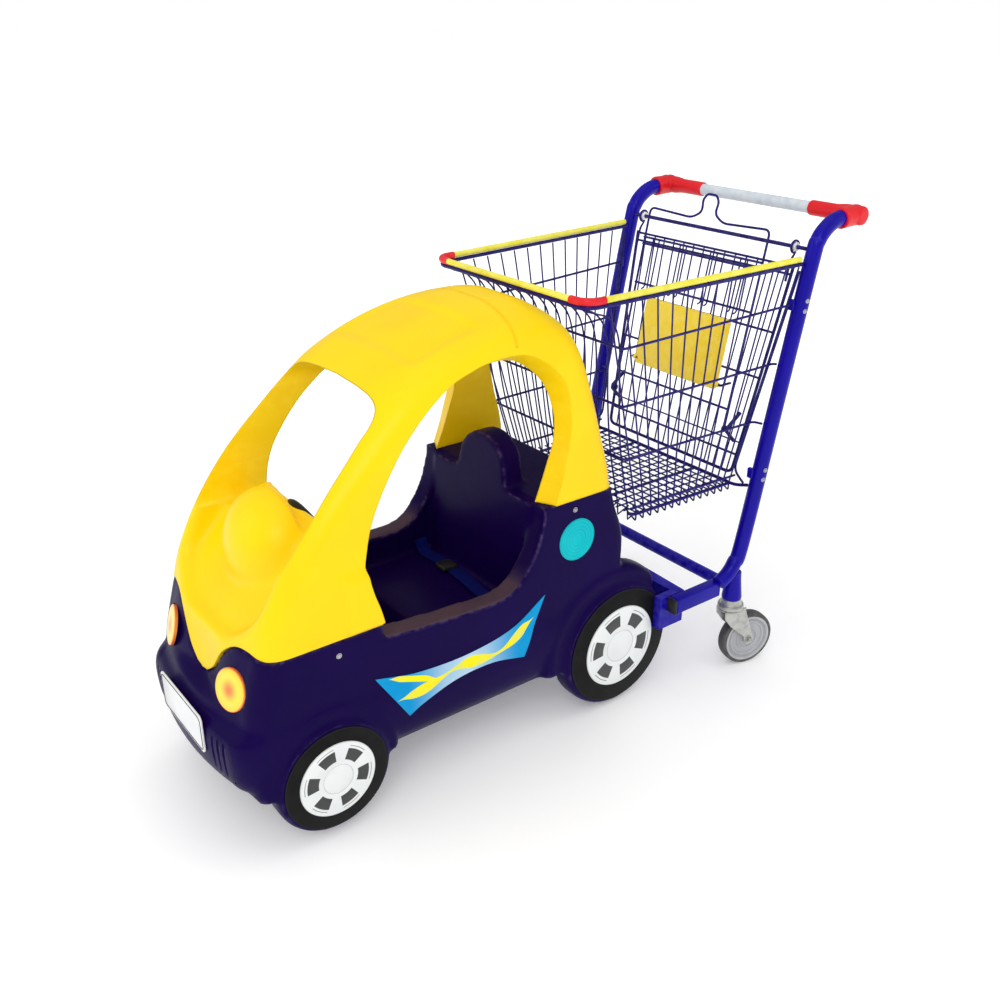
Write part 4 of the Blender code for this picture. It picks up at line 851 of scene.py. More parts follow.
def bolt(name, place, axis, radius):
    """A domed screw head with a washer."""
    profile = [(radius * 1.35, 0.0), (radius * 1.35, 0.0007), (radius * 1.25, 0.0010), (radius, 0.0011),
               (radius * 0.96, 0.0022), (radius * 0.75, 0.0033), (radius * 0.35, 0.0038),
               (radius * 0.30, 0.0030), (radius * 0.05, 0.0029)]
    return shown(name, lathe(profile, place, axis, 24), ZINC, "cart")


def handle():
    grip_low, grip_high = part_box("handle_tube")
    path = [(HANDLE.x, grip_low.y, HANDLE.z), (HANDLE.x, grip_high.y, HANDLE.z)]
    shown("handle_bar", tubes([(HANDLE_R, path)], 8), HANDLE_GREY, "cart", "handle_tube")
    for name, side in SIDES.items():
        handle_corner(name, side)


def handle_corner(name, side):
    """A moulded elbow with a sleeve along the handle, soft at its corners."""
    box_low, box_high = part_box("handle_end_" + name)
    outer = max(abs(box_low.y), abs(box_high.y))
    inner = min(abs(box_low.y), abs(box_high.y))
    mouth = box_high.x
    sleeve = [(0.0152, 0.0), (0.0156, 0.002), (0.0156, 0.060), (0.0160, 0.066), (0.0186, 0.085),
              (0.0192, outer - inner - 0.006), (0.0175, outer - inner - 0.002), (0.012, outer - inner)]
    parts = [lathe(sleeve, (HANDLE.x, side * inner, HANDLE.z), (0, side, 0), 48)]
    y = side * UPRIGHT_Y
    direction = Vector((mouth - HANDLE.x, 0, -0.0015))
    neck = [(0.0200, -0.004), (0.0208, 0.004), (0.0209, 0.036), (0.0214, 0.040), (0.0214, 0.0465),
            (0.0204, 0.0475)]
    parts.append(lathe(neck, (HANDLE.x, y, HANDLE.z), direction, 48))
    parts.append(ball((HANDLE.x, y, HANDLE.z), (0.0212, 0.0215, 0.0208)))
    skin = fused(joined(parts), 0.0016, 5)
    shown("handle_corner_" + name, skin, RED, "cart", "handle_end_" + name)
    bolt("handle_rivet_" + name, (HANDLE.x - 0.0185, y, HANDLE.z + 0.004), (-1, 0, 0.2), 0.0040)


# ---------------------------------------------------------------- basket
ROWS = ((0.556, 0.554), (0.679, 0.667), (0.800, 0.782))   # rear and front height
RIM_HALF = (RIM_HIGH.y - RIM_R, RIM_HIGH.y - RIM_R - 0.022)
RIM_Z = (RIM_HIGH.z - RIM_R, RIM_HIGH.z - RIM_R - 0.010)
WALL = [Vector(p) for p in flowing([(FLOOR_FRONT, 0, FLOOR_Z), (-0.138, 0, 0.554),
                                    (-0.118, 0, 0.667), (-0.104, 0, 0.782), (-0.074, 0, 0.838),
                                    (RIM_HIGH.x - RIM_R, 0, RIM_Z[1])], 8)]
FLOOR_HALF = (FLOOR_HIGH.y - FRAME_WIRE, FLOOR_HIGH.y - FRAME_WIRE - 0.009)
REAR_X = (FLOOR_REAR, RIM_LOW.x + 0.001)


def wall_x(z):
    """How far forward the basket's front wall is at a height."""
    for a, b in zip(WALL, WALL[1:]):
        if a.z <= z <= b.z:
            return lerp(a.x, b.x, (z - a.z) / (b.z - a.z))
    return WALL[-1].x


def rise(z):
    return (z - FLOOR_Z) / (RIM_Z[0] - FLOOR_Z)


def wall_half(along, z):
    """Half width of the basket; along runs from 0 at the rear to 1 at the front."""
    return lerp(lerp(*FLOOR_HALF, along), lerp(*RIM_HALF, along), rise(z))


def rear_x(z):
    return lerp(*REAR_X, rise(z))


def basket_side(name, side):
    """Side wires that turn under the floor in a small V, with rows welded outside them."""
    strands = []
    for rear_z, front_z in ROWS:
        rear = (rear_x(rear_z) - 0.003, wall_half(0, rear_z) + 0.0046, rear_z)
        clip = (rear_x(rear_z) - 0.006, UPRIGHT_Y - TUBE_R + 0.002, rear_z + 0.001)
        front = (wall_x(front_z) - 0.012, wall_half(1, front_z) + 0.0046, front_z)
        strands.append((MID, flipped(rounded([clip, rear, front], 0.012), side)))
    count = 13
    for step in range(count + 1):
        along = step / count
        top = lerp(RIM_Z[0], RIM_Z[1], along) - RIM_R - 0.0004
        head_x = lerp(RIM_LOW.x + 0.010, -0.062, along)
        foot_x = lerp(FLOOR_LOW.x + 0.010, FLOOR_HIGH.x - 0.014, along)
        half = wall_half(along, FLOOR_Z)
        path = [(head_x, wall_half(along, top), top), (foot_x, half + 0.0015, FLOOR_Z + 0.004),
                (foot_x, half + 0.001, FLOOR_Z - 0.015), (foot_x, half - 0.030, FLOOR_Z + 0.0015)]
        strands.append((THIN, flipped(rounded(path, 0.0045), side)))
    rear_edge = [(rear_x(0.866) + 0.002, wall_half(0, 0.866), 0.866),
                 (rear_x(0.45) + 0.002, wall_half(0, 0.45), 0.45),
                 (FLOOR_LOW.x + 0.002, UPRIGHT_Y - TUBE_R - 0.004, FLOOR_Z + 0.010)]
    strands.append((MID, flipped(rounded(rear_edge, 0.02), side)))
    edge = [(rear_x(0.438) - 0.001, wall_half(0, 0.438) + 0.0042, 0.438),
            (FLOOR_HIGH.x + 0.004, wall_half(1, 0.438) + 0.0042, 0.438)]
    strands.append((MID, flipped(edge, side)))
    shown("basket_side_wires_" + name, tubes(strands), WIRE_NAVY, "cart", "basket_side_" + name)
    for index, z in enumerate((0.80, 0.455)):
        clip_bracket("basket_clip_%s_%d" % (name, index), side, z)


def clip_bracket(name, side, z):
    """A folded tab that holds the basket's wires on the upright."""
    x = upright_x(z) + TUBE_R
    y = UPRIGHT_Y - 0.006
    corners = [(x - 0.004, side * (y - 0.010), z - 0.011), (x + 0.0045, side * (y + 0.004), z + 0.011)]
    low_corner = [min(a, b) for a, b in zip(*corners)]
    high_corner = [max(a, b) for a, b in zip(*corners)]
    shown(name, bevelled(block(low_corner, high_corner), 0.0018, 3), FRAME_BLUE, "cart")
    for index, lift in enumerate((-0.010, 0.010)):
        place = (upright_x(z + lift) + 0.003, side * (UPRIGHT_Y + TUBE_R - 0.0008), z + lift)
        bolt("%s_screw_%d" % (name, index), place, (0.2, side, 0), 0.0034)


def basket_front():
    strands = []
    for _, z in ROWS:
        half = wall_half(1, z) + 0.004
        bend = (wall_x(z) + 0.0046, half, z)
        back = (wall_x(z) - 0.014, half, z)
        path = rounded([back, bend, (bend[0], -half, z), (back[0], -half, z)], 0.014)
        strands.append((MID, path))
    count = 14
    for step in range(count):
        spread = lerp(-1, 1, step / (count - 1))
        rim_y = spread * (RIM_HALF[1] - 0.012)
        path = [Vector((p.x, spread * (wall_half(1, p.z) - 0.010), p.z))
                for p in WALL if p.z < RIM_Z[1] - 0.018]
        path.append(Vector((RIM_HIGH.x - 0.016, rim_y, RIM_Z[1] - 0.0080)))
        path.append(Vector((RIM_HIGH.x - 0.009, rim_y, RIM_Z[1] - 0.0035)))
        foot = path[0]
        hook = [foot + Vector((-0.028, 0, -0.001)), foot + Vector((0.001, 0, -0.012))]
        strands.append((THIN, hook + path[1:]))
    shown("basket_front_wires", tubes(strands), WIRE_NAVY, "cart", "basket_front")


def basket_floor():
    """A close square mesh inside a heavy edge wire."""
    corners = [(FLOOR_REAR, -FLOOR_HALF[0], FLOOR_Z), (FLOOR_FRONT, -FLOOR_HALF[1], FLOOR_Z),
               (FLOOR_FRONT, FLOOR_HALF[1], FLOOR_Z), (FLOOR_REAR, FLOOR_HALF[0], FLOOR_Z)]
    loop = corners + [corners[0], corners[1]]
    strands = [(HEAVY, rounded(loop, 0.014)[8:-1])]
    lengthwise = 17
    for step in range(1, lengthwise):
        spread = lerp(-1, 1, step / lengthwise)
        strands.append((THIN, [(FLOOR_REAR, spread * FLOOR_HALF[0], FLOOR_Z + 0.0012),
                               (FLOOR_FRONT, spread * FLOOR_HALF[1], FLOOR_Z + 0.0012)]))
    crosswise = 14
    for step in range(1, crosswise):
        x = lerp(FLOOR_REAR, FLOOR_FRONT, step / crosswise)
        half = lerp(*FLOOR_HALF, step / crosswise)
        strands.append((THIN, [(x, -half, FLOOR_Z - 0.0022), (x, half, FLOOR_Z - 0.0022)]))
    reach = UPRIGHT_Y - TUBE_R + 0.006
    to_uprights = [(FLOOR_REAR - 0.004, -reach, FLOOR_Z + 0.008),
                   (FLOOR_REAR, -FLOOR_HALF[0] - 0.012, FLOOR_Z - 0.001),
                   (FLOOR_REAR, FLOOR_HALF[0] + 0.012, FLOOR_Z - 0.001),
                   (FLOOR_REAR - 0.004, reach, FLOOR_Z + 0.008)]
    strands.append((HEAVY, rounded(to_uprights, 0.020)))
    for spread in (-0.45, 0.45):
        strands.append((MID, [(FLOOR_REAR, spread * FLOOR_HALF[0], FLOOR_Z - 0.0062),
                              (FLOOR_FRONT, spread * FLOOR_HALF[1], FLOOR_Z - 0.0062)]))
    shown("basket_floor_wires", tubes(strands), WIRE_NAVY, "cart", "basket_floor")


def rim_bend(lift=0.0):
    corner = 0.030
    front = RIM_HIGH.x - RIM_R
    half = RIM_HALF[1]
    bend = []
    for step in range(9):
        angle = math.pi / 2 * step / 8
        bend.append(Vector((front - corner + corner * math.sin(angle),
                            half - corner + corner * math.cos(angle), RIM_Z[1] + lift)))
    rear = Vector((RIM_LOW.x + 0.001, RIM_HALF[0], RIM_Z[0] + lift))
    return rear, bend


def rim():
    rear, bend = rim_bend()
    left = [rear] + bend
    path = left + [Vector((p.x, -p.y, p.z)) for p in reversed(left)]
    shown("rim_hoop", tubes([(RIM_R, path)], 4), WIRE_NAVY, "cart", "rim_wire")
    lift = middle("rim_cover_front").z - RIM_Z[1]
    rear, bend = rim_bend(lift)
    for name, side in SIDES.items():
        start = bend[0].lerp(rear, 0.020)
        end = bend[0].lerp(rear, 0.985)
        shown("rim_strip_" + name, tubes([(COVER_R, flipped([start, end], side))], 6), RIM_YELLOW, "cart",
              "rim_cover_" + name)
        inward = bend[-1] - Vector((0, 0.012, 0))
        corner = [bend[0].lerp(rear, 0.022)] + bend + [inward]
        shown("rim_corner_cap_" + name, tubes([(COVER_R + 0.0014, flipped(corner, side))], 6), RED, "cart",
              "rim_corner_" + name)
    half = bend[-1].y - 0.0115
    path = [(bend[-1].x, -half, bend[-1].z), (bend[-1].x, half, bend[-1].z)]
    shown("rim_strip_front", tubes([(COVER_R, path)], 6), RIM_YELLOW, "cart", "rim_cover_front")


# ---------------------------------------------------------------- gate and child seat
def in_gate(y, z, off=0.0):
    return Vector((GATE_AXIS.x + LEAN * (z - GATE_AXIS.z) + off, y, z))


GATE_FOOT, GATE_TOP = 0.434, 0.868
GATE_HALF = (0.190, 0.222)
PIN_R = 0.0028                   # pins of the seat back and the flap


def gate_half(z):
    return lerp(*GATE_HALF, (z - GATE_FOOT) / (GATE_TOP - GATE_FOOT))


def gate_rod():
    end = high("hinge_rod").y
    path = [in_gate(-end, GATE_AXIS.z), in_gate(end, GATE_AXIS.z)]
    shown("gate_rod", tubes([(0.004, path)], 5), WIRE_NAVY, "cart", "hinge_rod")
    for name in SIDES:
        centre = middle("hinge_bush_" + name)
        half = 0.006
        profile = [(0.0044, -half), (0.0078, -half), (0.0090, -half + 0.0012), (0.0090, -0.0030),
                   (0.0076, -0.0022), (0.0076, 0.0022), (0.0090, 0.0030), (0.0090, half - 0.0012),
                   (0.0078, half), (0.0044, half)]
        bush = lathe(profile, centre, (0, 1, 0), 40, closed=True)
        shown("gate_bush_" + name, bush, WHITE, "cart", "hinge_bush_" + name)


def hook_path(side):
    """A gate hook from the top wire up and over its bush."""
    radius = 0.0090 + 0.0003 + MID
    bush_y = side * middle("hinge_bush_left").y
    path = [in_gate(bush_y, GATE_TOP - 0.030, 0.0045), in_gate(bush_y, GATE_TOP, 0.0045),
            in_gate(bush_y, GATE_TOP + 0.012, 0.0030)]
    for step in range(19):
        angle = math.radians(lerp(-105, 160, step / 18))
        path.append(Vector((GATE_AXIS.x + radius * math.cos(angle), bush_y,
                            GATE_AXIS.z + radius * math.sin(angle))))
    return path


def gate():
    foot, top = GATE_FOOT, GATE_TOP
    outline = [in_gate(-GATE_HALF[1], top + 0.004), in_gate(-GATE_HALF[0], foot),
               in_gate(GATE_HALF[0], foot), in_gate(GATE_HALF[1], top + 0.004)]
    strands = [(HEAVY, rounded(outline, 0.016))]
    for z in (top, top - 0.016, 0.735, 0.640, 0.474):
        strands.append((MID, [in_gate(-gate_half(z), z), in_gate(gate_half(z), z)]))
    count = 15
    for step in range(1, count):
        spread = lerp(-1, 1, step / count)
        strands.append((THIN, [in_gate(spread * GATE_HALF[0], foot, 0.0030),
                               in_gate(spread * GATE_HALF[1], top + 0.001, 0.0030)]))
    for side in (1, -1):
        strands.append((MID, hook_path(side)))
        strands += seat_lug(side) + flap_pin(side)
        strands.append((THIN, [in_gate(-gate_half(0.53) * side, SEAT_AXIS.z - 0.030, -0.001),
                               in_gate(0, SEAT_AXIS.z - 0.030, -0.001)]))
    shown("gate_wires", tubes(strands), WIRE_NAVY, "gate", "gate_panel")


def seat_lug(side):
    """The bent lug on the gate and the pin in it that carry one side of the seat back."""
    y = side * (high("seat_back_frame").y + 0.0066)
    z = SEAT_AXIS.z
    lug = [in_gate(y, z + 0.030), in_gate(y, z + 0.004, SEAT_OFF), in_gate(y, z - 0.004, SEAT_OFF),
           in_gate(y, z - 0.030)]
    pin = [in_gate(y, z, SEAT_OFF), in_gate(y - side * 0.014, z, SEAT_OFF)]
    return [(0.0042, lug), (PIN_R, pin)]


def flap_pin(side):
    """The bent wire on the gate that one side of the flap turns on."""
    y = side * (high("seat_panel").y + 0.012)
    z = FLAP_AXIS.z
    off = FLAP_AXIS.x - in_gate(0, z).x
    bend = [in_gate(y, z), in_gate(y, z, off), in_gate(y - side * 0.018, z, off)]
    return [(PIN_R, rounded(bend, 0.003))]


def seat_point(y, z, off=0.0):
    return in_gate(y, z, SEAT_OFF + off)


def seat_back():
    """The wire back: a bow with a hand loop, eyes on the gate's lugs and upright wires."""
    half = high("seat_back_frame").y - MID
    shoulder, hump = 0.933, 0.022
    peak = high("seat_back_frame").z - MID
    eye_r = PIN_R + 0.0004 + MID
    left = [seat_point(half, SEAT_AXIS.z + eye_r), seat_point(half, shoulder),
            seat_point(hump + 0.022, shoulder - 0.005), seat_point(hump - 0.004, shoulder + 0.010),
            seat_point(hump, peak - 0.012), seat_point(hump * 0.55, peak), seat_point(0, peak)]
    right = [Vector((p.x, -p.y, p.z)) for p in reversed(left[:-1])]
    strands = [(MID, rounded(left + right, 0.014, 6))]
    for side in (1, -1):
        eye = []
        for step in range(19):
            angle = math.radians(lerp(85, 430, step / 18))
            eye.append(Vector((SEAT_AXIS.x + eye_r * math.cos(angle), side * half,
                               SEAT_AXIS.z + eye_r * math.sin(angle))))
        strands.append((MID, eye))
    for z in (0.572, 0.772, 0.856, 0.870):
        strands.append((MID, [seat_point(-half, z, 0.0035), seat_point(half, z, 0.0035)]))
    for middle_y in (-0.126, -0.044, 0.044, 0.126):
        for y in (middle_y - 0.009, middle_y + 0.009):
            hook = [seat_point(y, 0.872, 0.0064), seat_point(y, 0.766, 0.0064), seat_point(y, 0.764, 0.0140)]
            strands.append((THIN, rounded(hook, 0.004)))
    shown("seat_back_wires", tubes(strands), WIRE_NAVY, "seat_back", "seat_back_frame")


def seat_flap():
    """A thin moulded flap with a raised border, ribs and stub pins at its sides."""
    half = high("seat_panel").y
    length = 0.139
    foot = -0.010
    outline = rounded_rectangle((-half, foot), (half, length - 0.004), 0.008, 4)
    parts = [bevelled(slab(outline, -0.0018, 0.0018, "X"), 0.0008, 2)]
    edge = [(0.0022, [Vector((0, y, z)) for y, z in outline + outline[:1]])]
    parts.append(tubes(edge, 3))
    for step in range(5):
        y = lerp(-0.78, 0.78, step / 4) * half
        parts.append(tubes([(0.0016, [(0.0012, y, 0.012), (0.0012, y, length - 0.018)])], 3))
    mesh = joined(parts)
    tilt = Matrix.Rotation(math.atan(LEAN), 4, "Y")
    mesh.transform(Matrix.Translation(FLAP_AXIS) @ tilt)
    shown("seat_flap_board", mesh, FLAP_YELLOW, "seat_flap", "seat_panel")
    for name, side in SIDES.items():
        pin = lathe([(0.0048, 0.0), (0.0052, 0.001), (0.0052, 0.006), (0.0040, 0.0075)],
                    (FLAP_AXIS.x, side * (half - 0.001), FLAP_AXIS.z), (0, side, 0), 24)
        shown("flap_pin_" + name, pin, FLAP_YELLOW, "seat_flap")


# ---------------------------------------------------------------- casters
def rear_casters():
    for name in SIDES:
        axle = joint_at("roll_rear_" + name)
        direction = Vector(JOINTS["roll_rear_" + name]["axis"])
        swivel = joint_at("swivel_" + name)
        caster_wheel(name, axle, direction)
        caster_fork(name, axle, direction, swivel)
        race = middle("caster_race_" + name)
        base = low("caster_race_" + name).z
        profile = [(0.0255, 0.0), (0.0283, 0.0006), (0.0285, 0.0040), (0.0278, 0.0078), (0.0268, 0.0092),
                   (0.0245, 0.0100), (0.0228, 0.0125), (0.0215, 0.0190), (0.0205, 0.0220)]
        mesh = lathe(profile, (race.x, race.y, base), (0, 0, 1), 56)
        shown("swivel_race_" + name, mesh, ZINC, "cart", "caster_race_" + name)


def caster_wheel(name, axle, direction):
    """A grey ribbed wheel with hub and bearing bosses, and a crowned tread."""
    half, tread_r, hub_r = CASTER_WHEEL_HALF, CASTER_WHEEL_R, 0.0542
    body = "wheel_rear_" + name
    face = [(0.0050, half + 0.0016), (0.0105, half + 0.0016), (0.0115, half + 0.0006),
            (0.0120, half - 0.0040), (0.0215, half - 0.0050), (0.0230, half - 0.0030),
            (0.0260, half - 0.0026), (0.0275, half - 0.0050), (0.0375, half - 0.0058),
            (0.0392, half - 0.0034), (0.0425, half - 0.0030), (0.0440, half - 0.0050),
            (0.0470, half - 0.0050), (0.0485, half - 0.0012), (0.0500, half - 0.0002),
            (hub_r, half - 0.0004)]
    back = [(radius, -along) for radius, along in reversed(face)]
    shown("caster_hub_" + name, lathe(face + back, axle, direction, 72, closed=True), PALE_GREY, body,
          "caster_wheel_" + name)
    crown = [(hub_r + 0.0002, half - 0.0006), (hub_r + 0.0030, half), (tread_r - 0.0030, half - 0.0004),
             (tread_r - 0.0010, half - 0.0022), (tread_r - 0.0002, half - 0.0052), (tread_r, 0.0)]
    tread = crown + [(radius, -along) for radius, along in reversed(crown[:-1])]
    shown("caster_tread_" + name, lathe(tread, axle, direction, 72, closed=True), TREAD, body,
          "caster_tyre_" + name)


def caster_fork(name, axle, direction, swivel):
    """Pressed cheeks that taper to the axle, a domed top plate and a hexagon axle bolt."""
    body = "caster_" + name
    trail = math.hypot(axle.x - swivel.x, axle.y - swivel.y)
    top = high("caster_fork_" + name).z
    inner, outer = 0.0155, 0.0180
    eye = 0.0120
    cheek = []
    for step in range(9):
        angle = math.radians(180 + 180 * step / 8)
        cheek.append((-trail + eye * math.cos(angle), axle.z + eye * math.sin(angle)))
    cheek += [(-trail + 0.016, axle.z + 0.012), (0.006, axle.z + 0.044), (0.0225, top - 0.020),
              (0.0240, top - 0.002), (-0.0280, top - 0.002), (-0.0340, top - 0.020),
              (-0.0460, axle.z + 0.034)]
    parts = []
    for side in (1, -1):
        start, end = sorted((side * inner, side * outer))
        parts.append(bevelled(slab(cheek, start, end, "Y"), 0.0008, 2))
    plate = [(0.010, -0.0048), (0.0262, -0.0048), (0.0276, -0.0042), (0.0280, -0.0028), (0.0272, -0.0010),
             (0.0255, -0.0002), (0.010, 0.0)]
    parts.append(lathe(plate, (0, 0, top), (0, 0, 1), 56))
    for side in (1, -1):
        rib = [(-0.030, side * 0.0160, top - 0.0035), (0.022, side * 0.0160, top - 0.0035)]
        parts.append(tubes([(0.0026, rib)], 4))
    mesh = joined(parts)
    yaw = math.atan2(swivel.y - axle.y, swivel.x - axle.x)
    mesh.transform(Matrix.Translation((swivel.x, swivel.y, 0)) @ Matrix.Rotation(yaw, 4, "Z"))
    shown("fork_" + name, mesh, ZINC, body, "caster_fork_" + name)
    axle_bolt("axle_bolt_" + name, axle, direction, body, "caster_axle_" + name)


def axle_bolt(name, axle, direction, body, node):
    parts = [lathe([(0.0044, -0.021), (0.0044, 0.021)], axle, direction, 24)]
    for side in (1, -1):
        start = axle + direction * side * 0.0182
        washer = [(0.0080, 0.0), (0.0100, 0.0002), (0.0100, 0.0012), (0.0085, 0.0014)]
        parts.append(lathe(washer, start, direction * side, 32))
        head = [(0.0076, 0.0), (0.0076, 0.0034), (0.0066, 0.0044)]
        parts.append(lathe(head, start + direction * side * 0.0012, direction * side, 6))
        parts.append(lathe([(0.0040, 0.0), (0.0040, 0.0060), (0.0030, 0.0068)], start, direction * side, 20))
    shown(name, joined(parts), ZINC, body, node, sharp=25)


def front_casters():
    """The fixed casters under the nose: the same wheel in an upright fork."""
    for name in SIDES:
        axle = joint_at("roll_front_" + name)
        direction = Vector((0, 1, 0))
        half, radius = CASTER_WHEEL_HALF, CASTER_WHEEL_R
        profile = [(0.0050, half), (0.0110, half), (0.0125, half - 0.004), (0.0440, half - 0.005),
                   (0.0475, half - 0.001), (0.0560, half), (radius - 0.001, half - 0.003), (radius, 0.0)]
        whole = profile + [(r, -along) for r, along in reversed(profile[:-1])]
        shown("nose_wheel_" + name, lathe(whole, axle, direction, 64, closed=True), TREAD,
              "wheel_front_" + name, "front_wheel_" + name)
        mesh = bevelled(NODES["front_fork_" + name].data.copy(), 0.0006, 2, 40)
        shown("nose_fork_" + name, mesh, ZINC, "cart", "front_fork_" + name)
        axle_bolt("nose_axle_" + name, axle, direction, "cart", "front_axle_" + name)


# ---------------------------------------------------------------- car body
def plan_ring(z, rear, front, half, front_round, rear_round, bow):
    """A ring at one height: rounded corners, straight sides and a bowed nose."""
    left = []
    for step in range(9):
        angle = math.pi / 2 * step / 8
        left.append((rear + rear_round * (1 - math.sin(angle)), half - rear_round * (1 - math.cos(angle))))
    left.reverse()
    left = sorted(left)
    for step in range(1, 16):
        left.append((lerp(rear + rear_round, front - bow - front_round, step / 16), half))
    for step in range(13):
        angle = math.pi / 2 * step / 12
        left.append((front - bow - front_round * (1 - math.sin(angle)),
                     half - front_round * (1 - math.cos(angle))))
    edge = half - front_round
    for step in range(1, 8):
        y = edge * (1 - step / 8)
        left.append((front - bow * (y / edge) ** 2, y))
    ring = left + [(front, 0.0)] + [(x, -y) for x, y in reversed(left)]
    return [(x, y, z) for x, y in ring]


BODY_LEVELS = (
    # height, rear, front, half width, front corner radius, rear corner radius, bow
    (0.116, -0.150, 0.670, 0.180, 0.050, 0.020, 0.020),
    (0.145, -0.152, 0.695, 0.197, 0.052, 0.020, 0.015),
    (0.190, -0.154, 0.7025, 0.205, 0.056, 0.020, 0.014),
    (0.236, -0.155, 0.700, 0.206, 0.056, 0.020, 0.014),
    (0.262, -0.155, 0.684, 0.202, 0.045, 0.020, 0.022),
    (0.300, -0.155, 0.674, 0.202, 0.045, 0.020, 0.020),
    (0.388, -0.155, 0.646, 0.202, 0.045, 0.020, 0.018),
    (0.450, -0.134, 0.620, 0.201, 0.045, 0.020, 0.018),
    (0.500, -0.120, 0.600, 0.200, 0.045, 0.020, 0.018),
)

DOOR_FRONT = 0.405               # front edge of the door way where it meets the seam
SEAM_GAP = 0.0020                # between the body and the canopy
BENCH_Z = 0.282
CABIN_HALF = 0.158
CHASSIS_HALF = 0.160             # half width of the hollow under the car
BACKREST_X = 0.098               # its front face, carried down to the floor
BACKREST_LEAN = -0.085           # x per metre of height
DASH_X = high("steering_column").x + 0.0003
LAMP_R = 0.038

WHEEL_PLACES = [(position, side) for position in ("front", "rear") for side in (1, -1)]
# x, z and radius of the flares round the wheels
FLARES = {"front": (middle("tyre_disc_front_left").x, 0.134, 0.134), "rear": (-0.122, 0.148, 0.168)}

DOOR_FOOT = [(0.050, 0.540), (0.052, 0.490), (0.058, 0.458), (0.071, 0.418), (0.095, 0.380),
             (0.122, 0.354), (0.163, 0.344), (0.272, 0.348), (DOOR_FRONT, 0.359)]

SEAM = [(0.30, 0.385), (0.190, 0.385), (0.150, 0.391), (0.115, 0.385), (0.080, 0.360),
        (0.048, 0.317), (0.020, 0.296), (0.0, 0.292)]


def dense_rings(levels):
    return [plan_ring(*values) for values in flowing(levels)]


def seam_region(lift=0.0):
    half = [SEAM[0]] + flowing_pairs(SEAM[1:-1]) + [SEAM[-1]]
    return mirrored([(y, z + lift) for y, z in half]) + [(-0.30, 0.95), (0.30, 0.95)]


def wheel_place(position):
    """Centre and radii of a moulded wheel, from its printed discs."""
    disc = "tyre_disc_%s_left" % position
    cap = "hubcap_%s_left" % position
    centre = middle(disc)
    return centre, (high(disc).z - low(disc).z) / 2, (high(cap).z - low(cap).z) / 2


def wheel_boss(position, side):
    centre, tyre_r, _ = wheel_place(position)
    edge = tyre_r + 0.007
    profile = [(edge + 0.004, 0.0), (edge + 0.004, 0.034), (edge + 0.002, 0.044), (edge - 0.002, 0.050),
               (tyre_r + 0.0015, 0.0506), (tyre_r + 0.001, 0.0502), (0.02, 0.0502)]
    return lathe(profile, (centre.x, side * (WHEEL_FACE - 0.0508), centre.z), (0, side, 0), 96)


def fender(position, side):
    """A flare that stands out round the wheel, in two soft steps."""
    x, z, outer = FLARES[position]
    profile = [(outer + 0.006, 0.0), (outer + 0.004, 0.030), (outer, 0.040), (outer - 0.006, 0.0455),
               (outer - 0.020, 0.0480), (outer - 0.026, 0.0450), (0.02, 0.0450)]
    return lathe(profile, (x, side * 0.1605, z), (0, side, 0), 96)


def backrest():
    """The leaning wall behind the child: level shoulders and a round hump for the head."""
    hump = [(0.150, 0.4960), (0.095, 0.4960), (0.081, 0.503), (0.0760, 0.522), (0.070, 0.543),
            (0.054, 0.567), (0.028, 0.583), (0.0, 0.588)]
    outline = mirrored([(0.161, 0.250), (0.161, 0.488)] + flowing_pairs(hump))
    mesh = slab(outline, BACKREST_X - 0.047, BACKREST_X, "X")
    lean = Matrix.Identity(4)
    lean[0][2] = BACKREST_LEAN
    mesh.transform(lean)
    return mesh


def lamp_axis(side):
    return Vector((0.93, side * 0.24, 0.27)).normalized()


def bumper_ribs():
    """Upright grooves in the bumper beside the plate."""
    cuts = []
    for side in (1, -1):
        for step in range(4):
            y = side * (0.112 + 0.017 * step)
            x = 0.702 - 0.014 * (abs(y) / 0.149) ** 2 - max(0.0, abs(y) - 0.145) * 0.45
            cuts.append(tubes([(0.0042, [(x + 0.0015, y, 0.158), (x + 0.0015, y, 0.232)])], 4))
    return cuts


def nose_tuck(points, _):
    """The middle of the nose drawn back, so that the two lamp pods bulge beside it."""
    x, y, z = points.T
    across = np.exp(-(y / 0.080) ** 2)
    upward = soft_step(z, 0.281, 0.026) * (1.0 - soft_step(z, 0.370, 0.110))
    depth = 0.022 * across * upward * soft_step(x, 0.585, 0.040)
    return np.outer(depth, (-1.0, 0.0, 0.0))


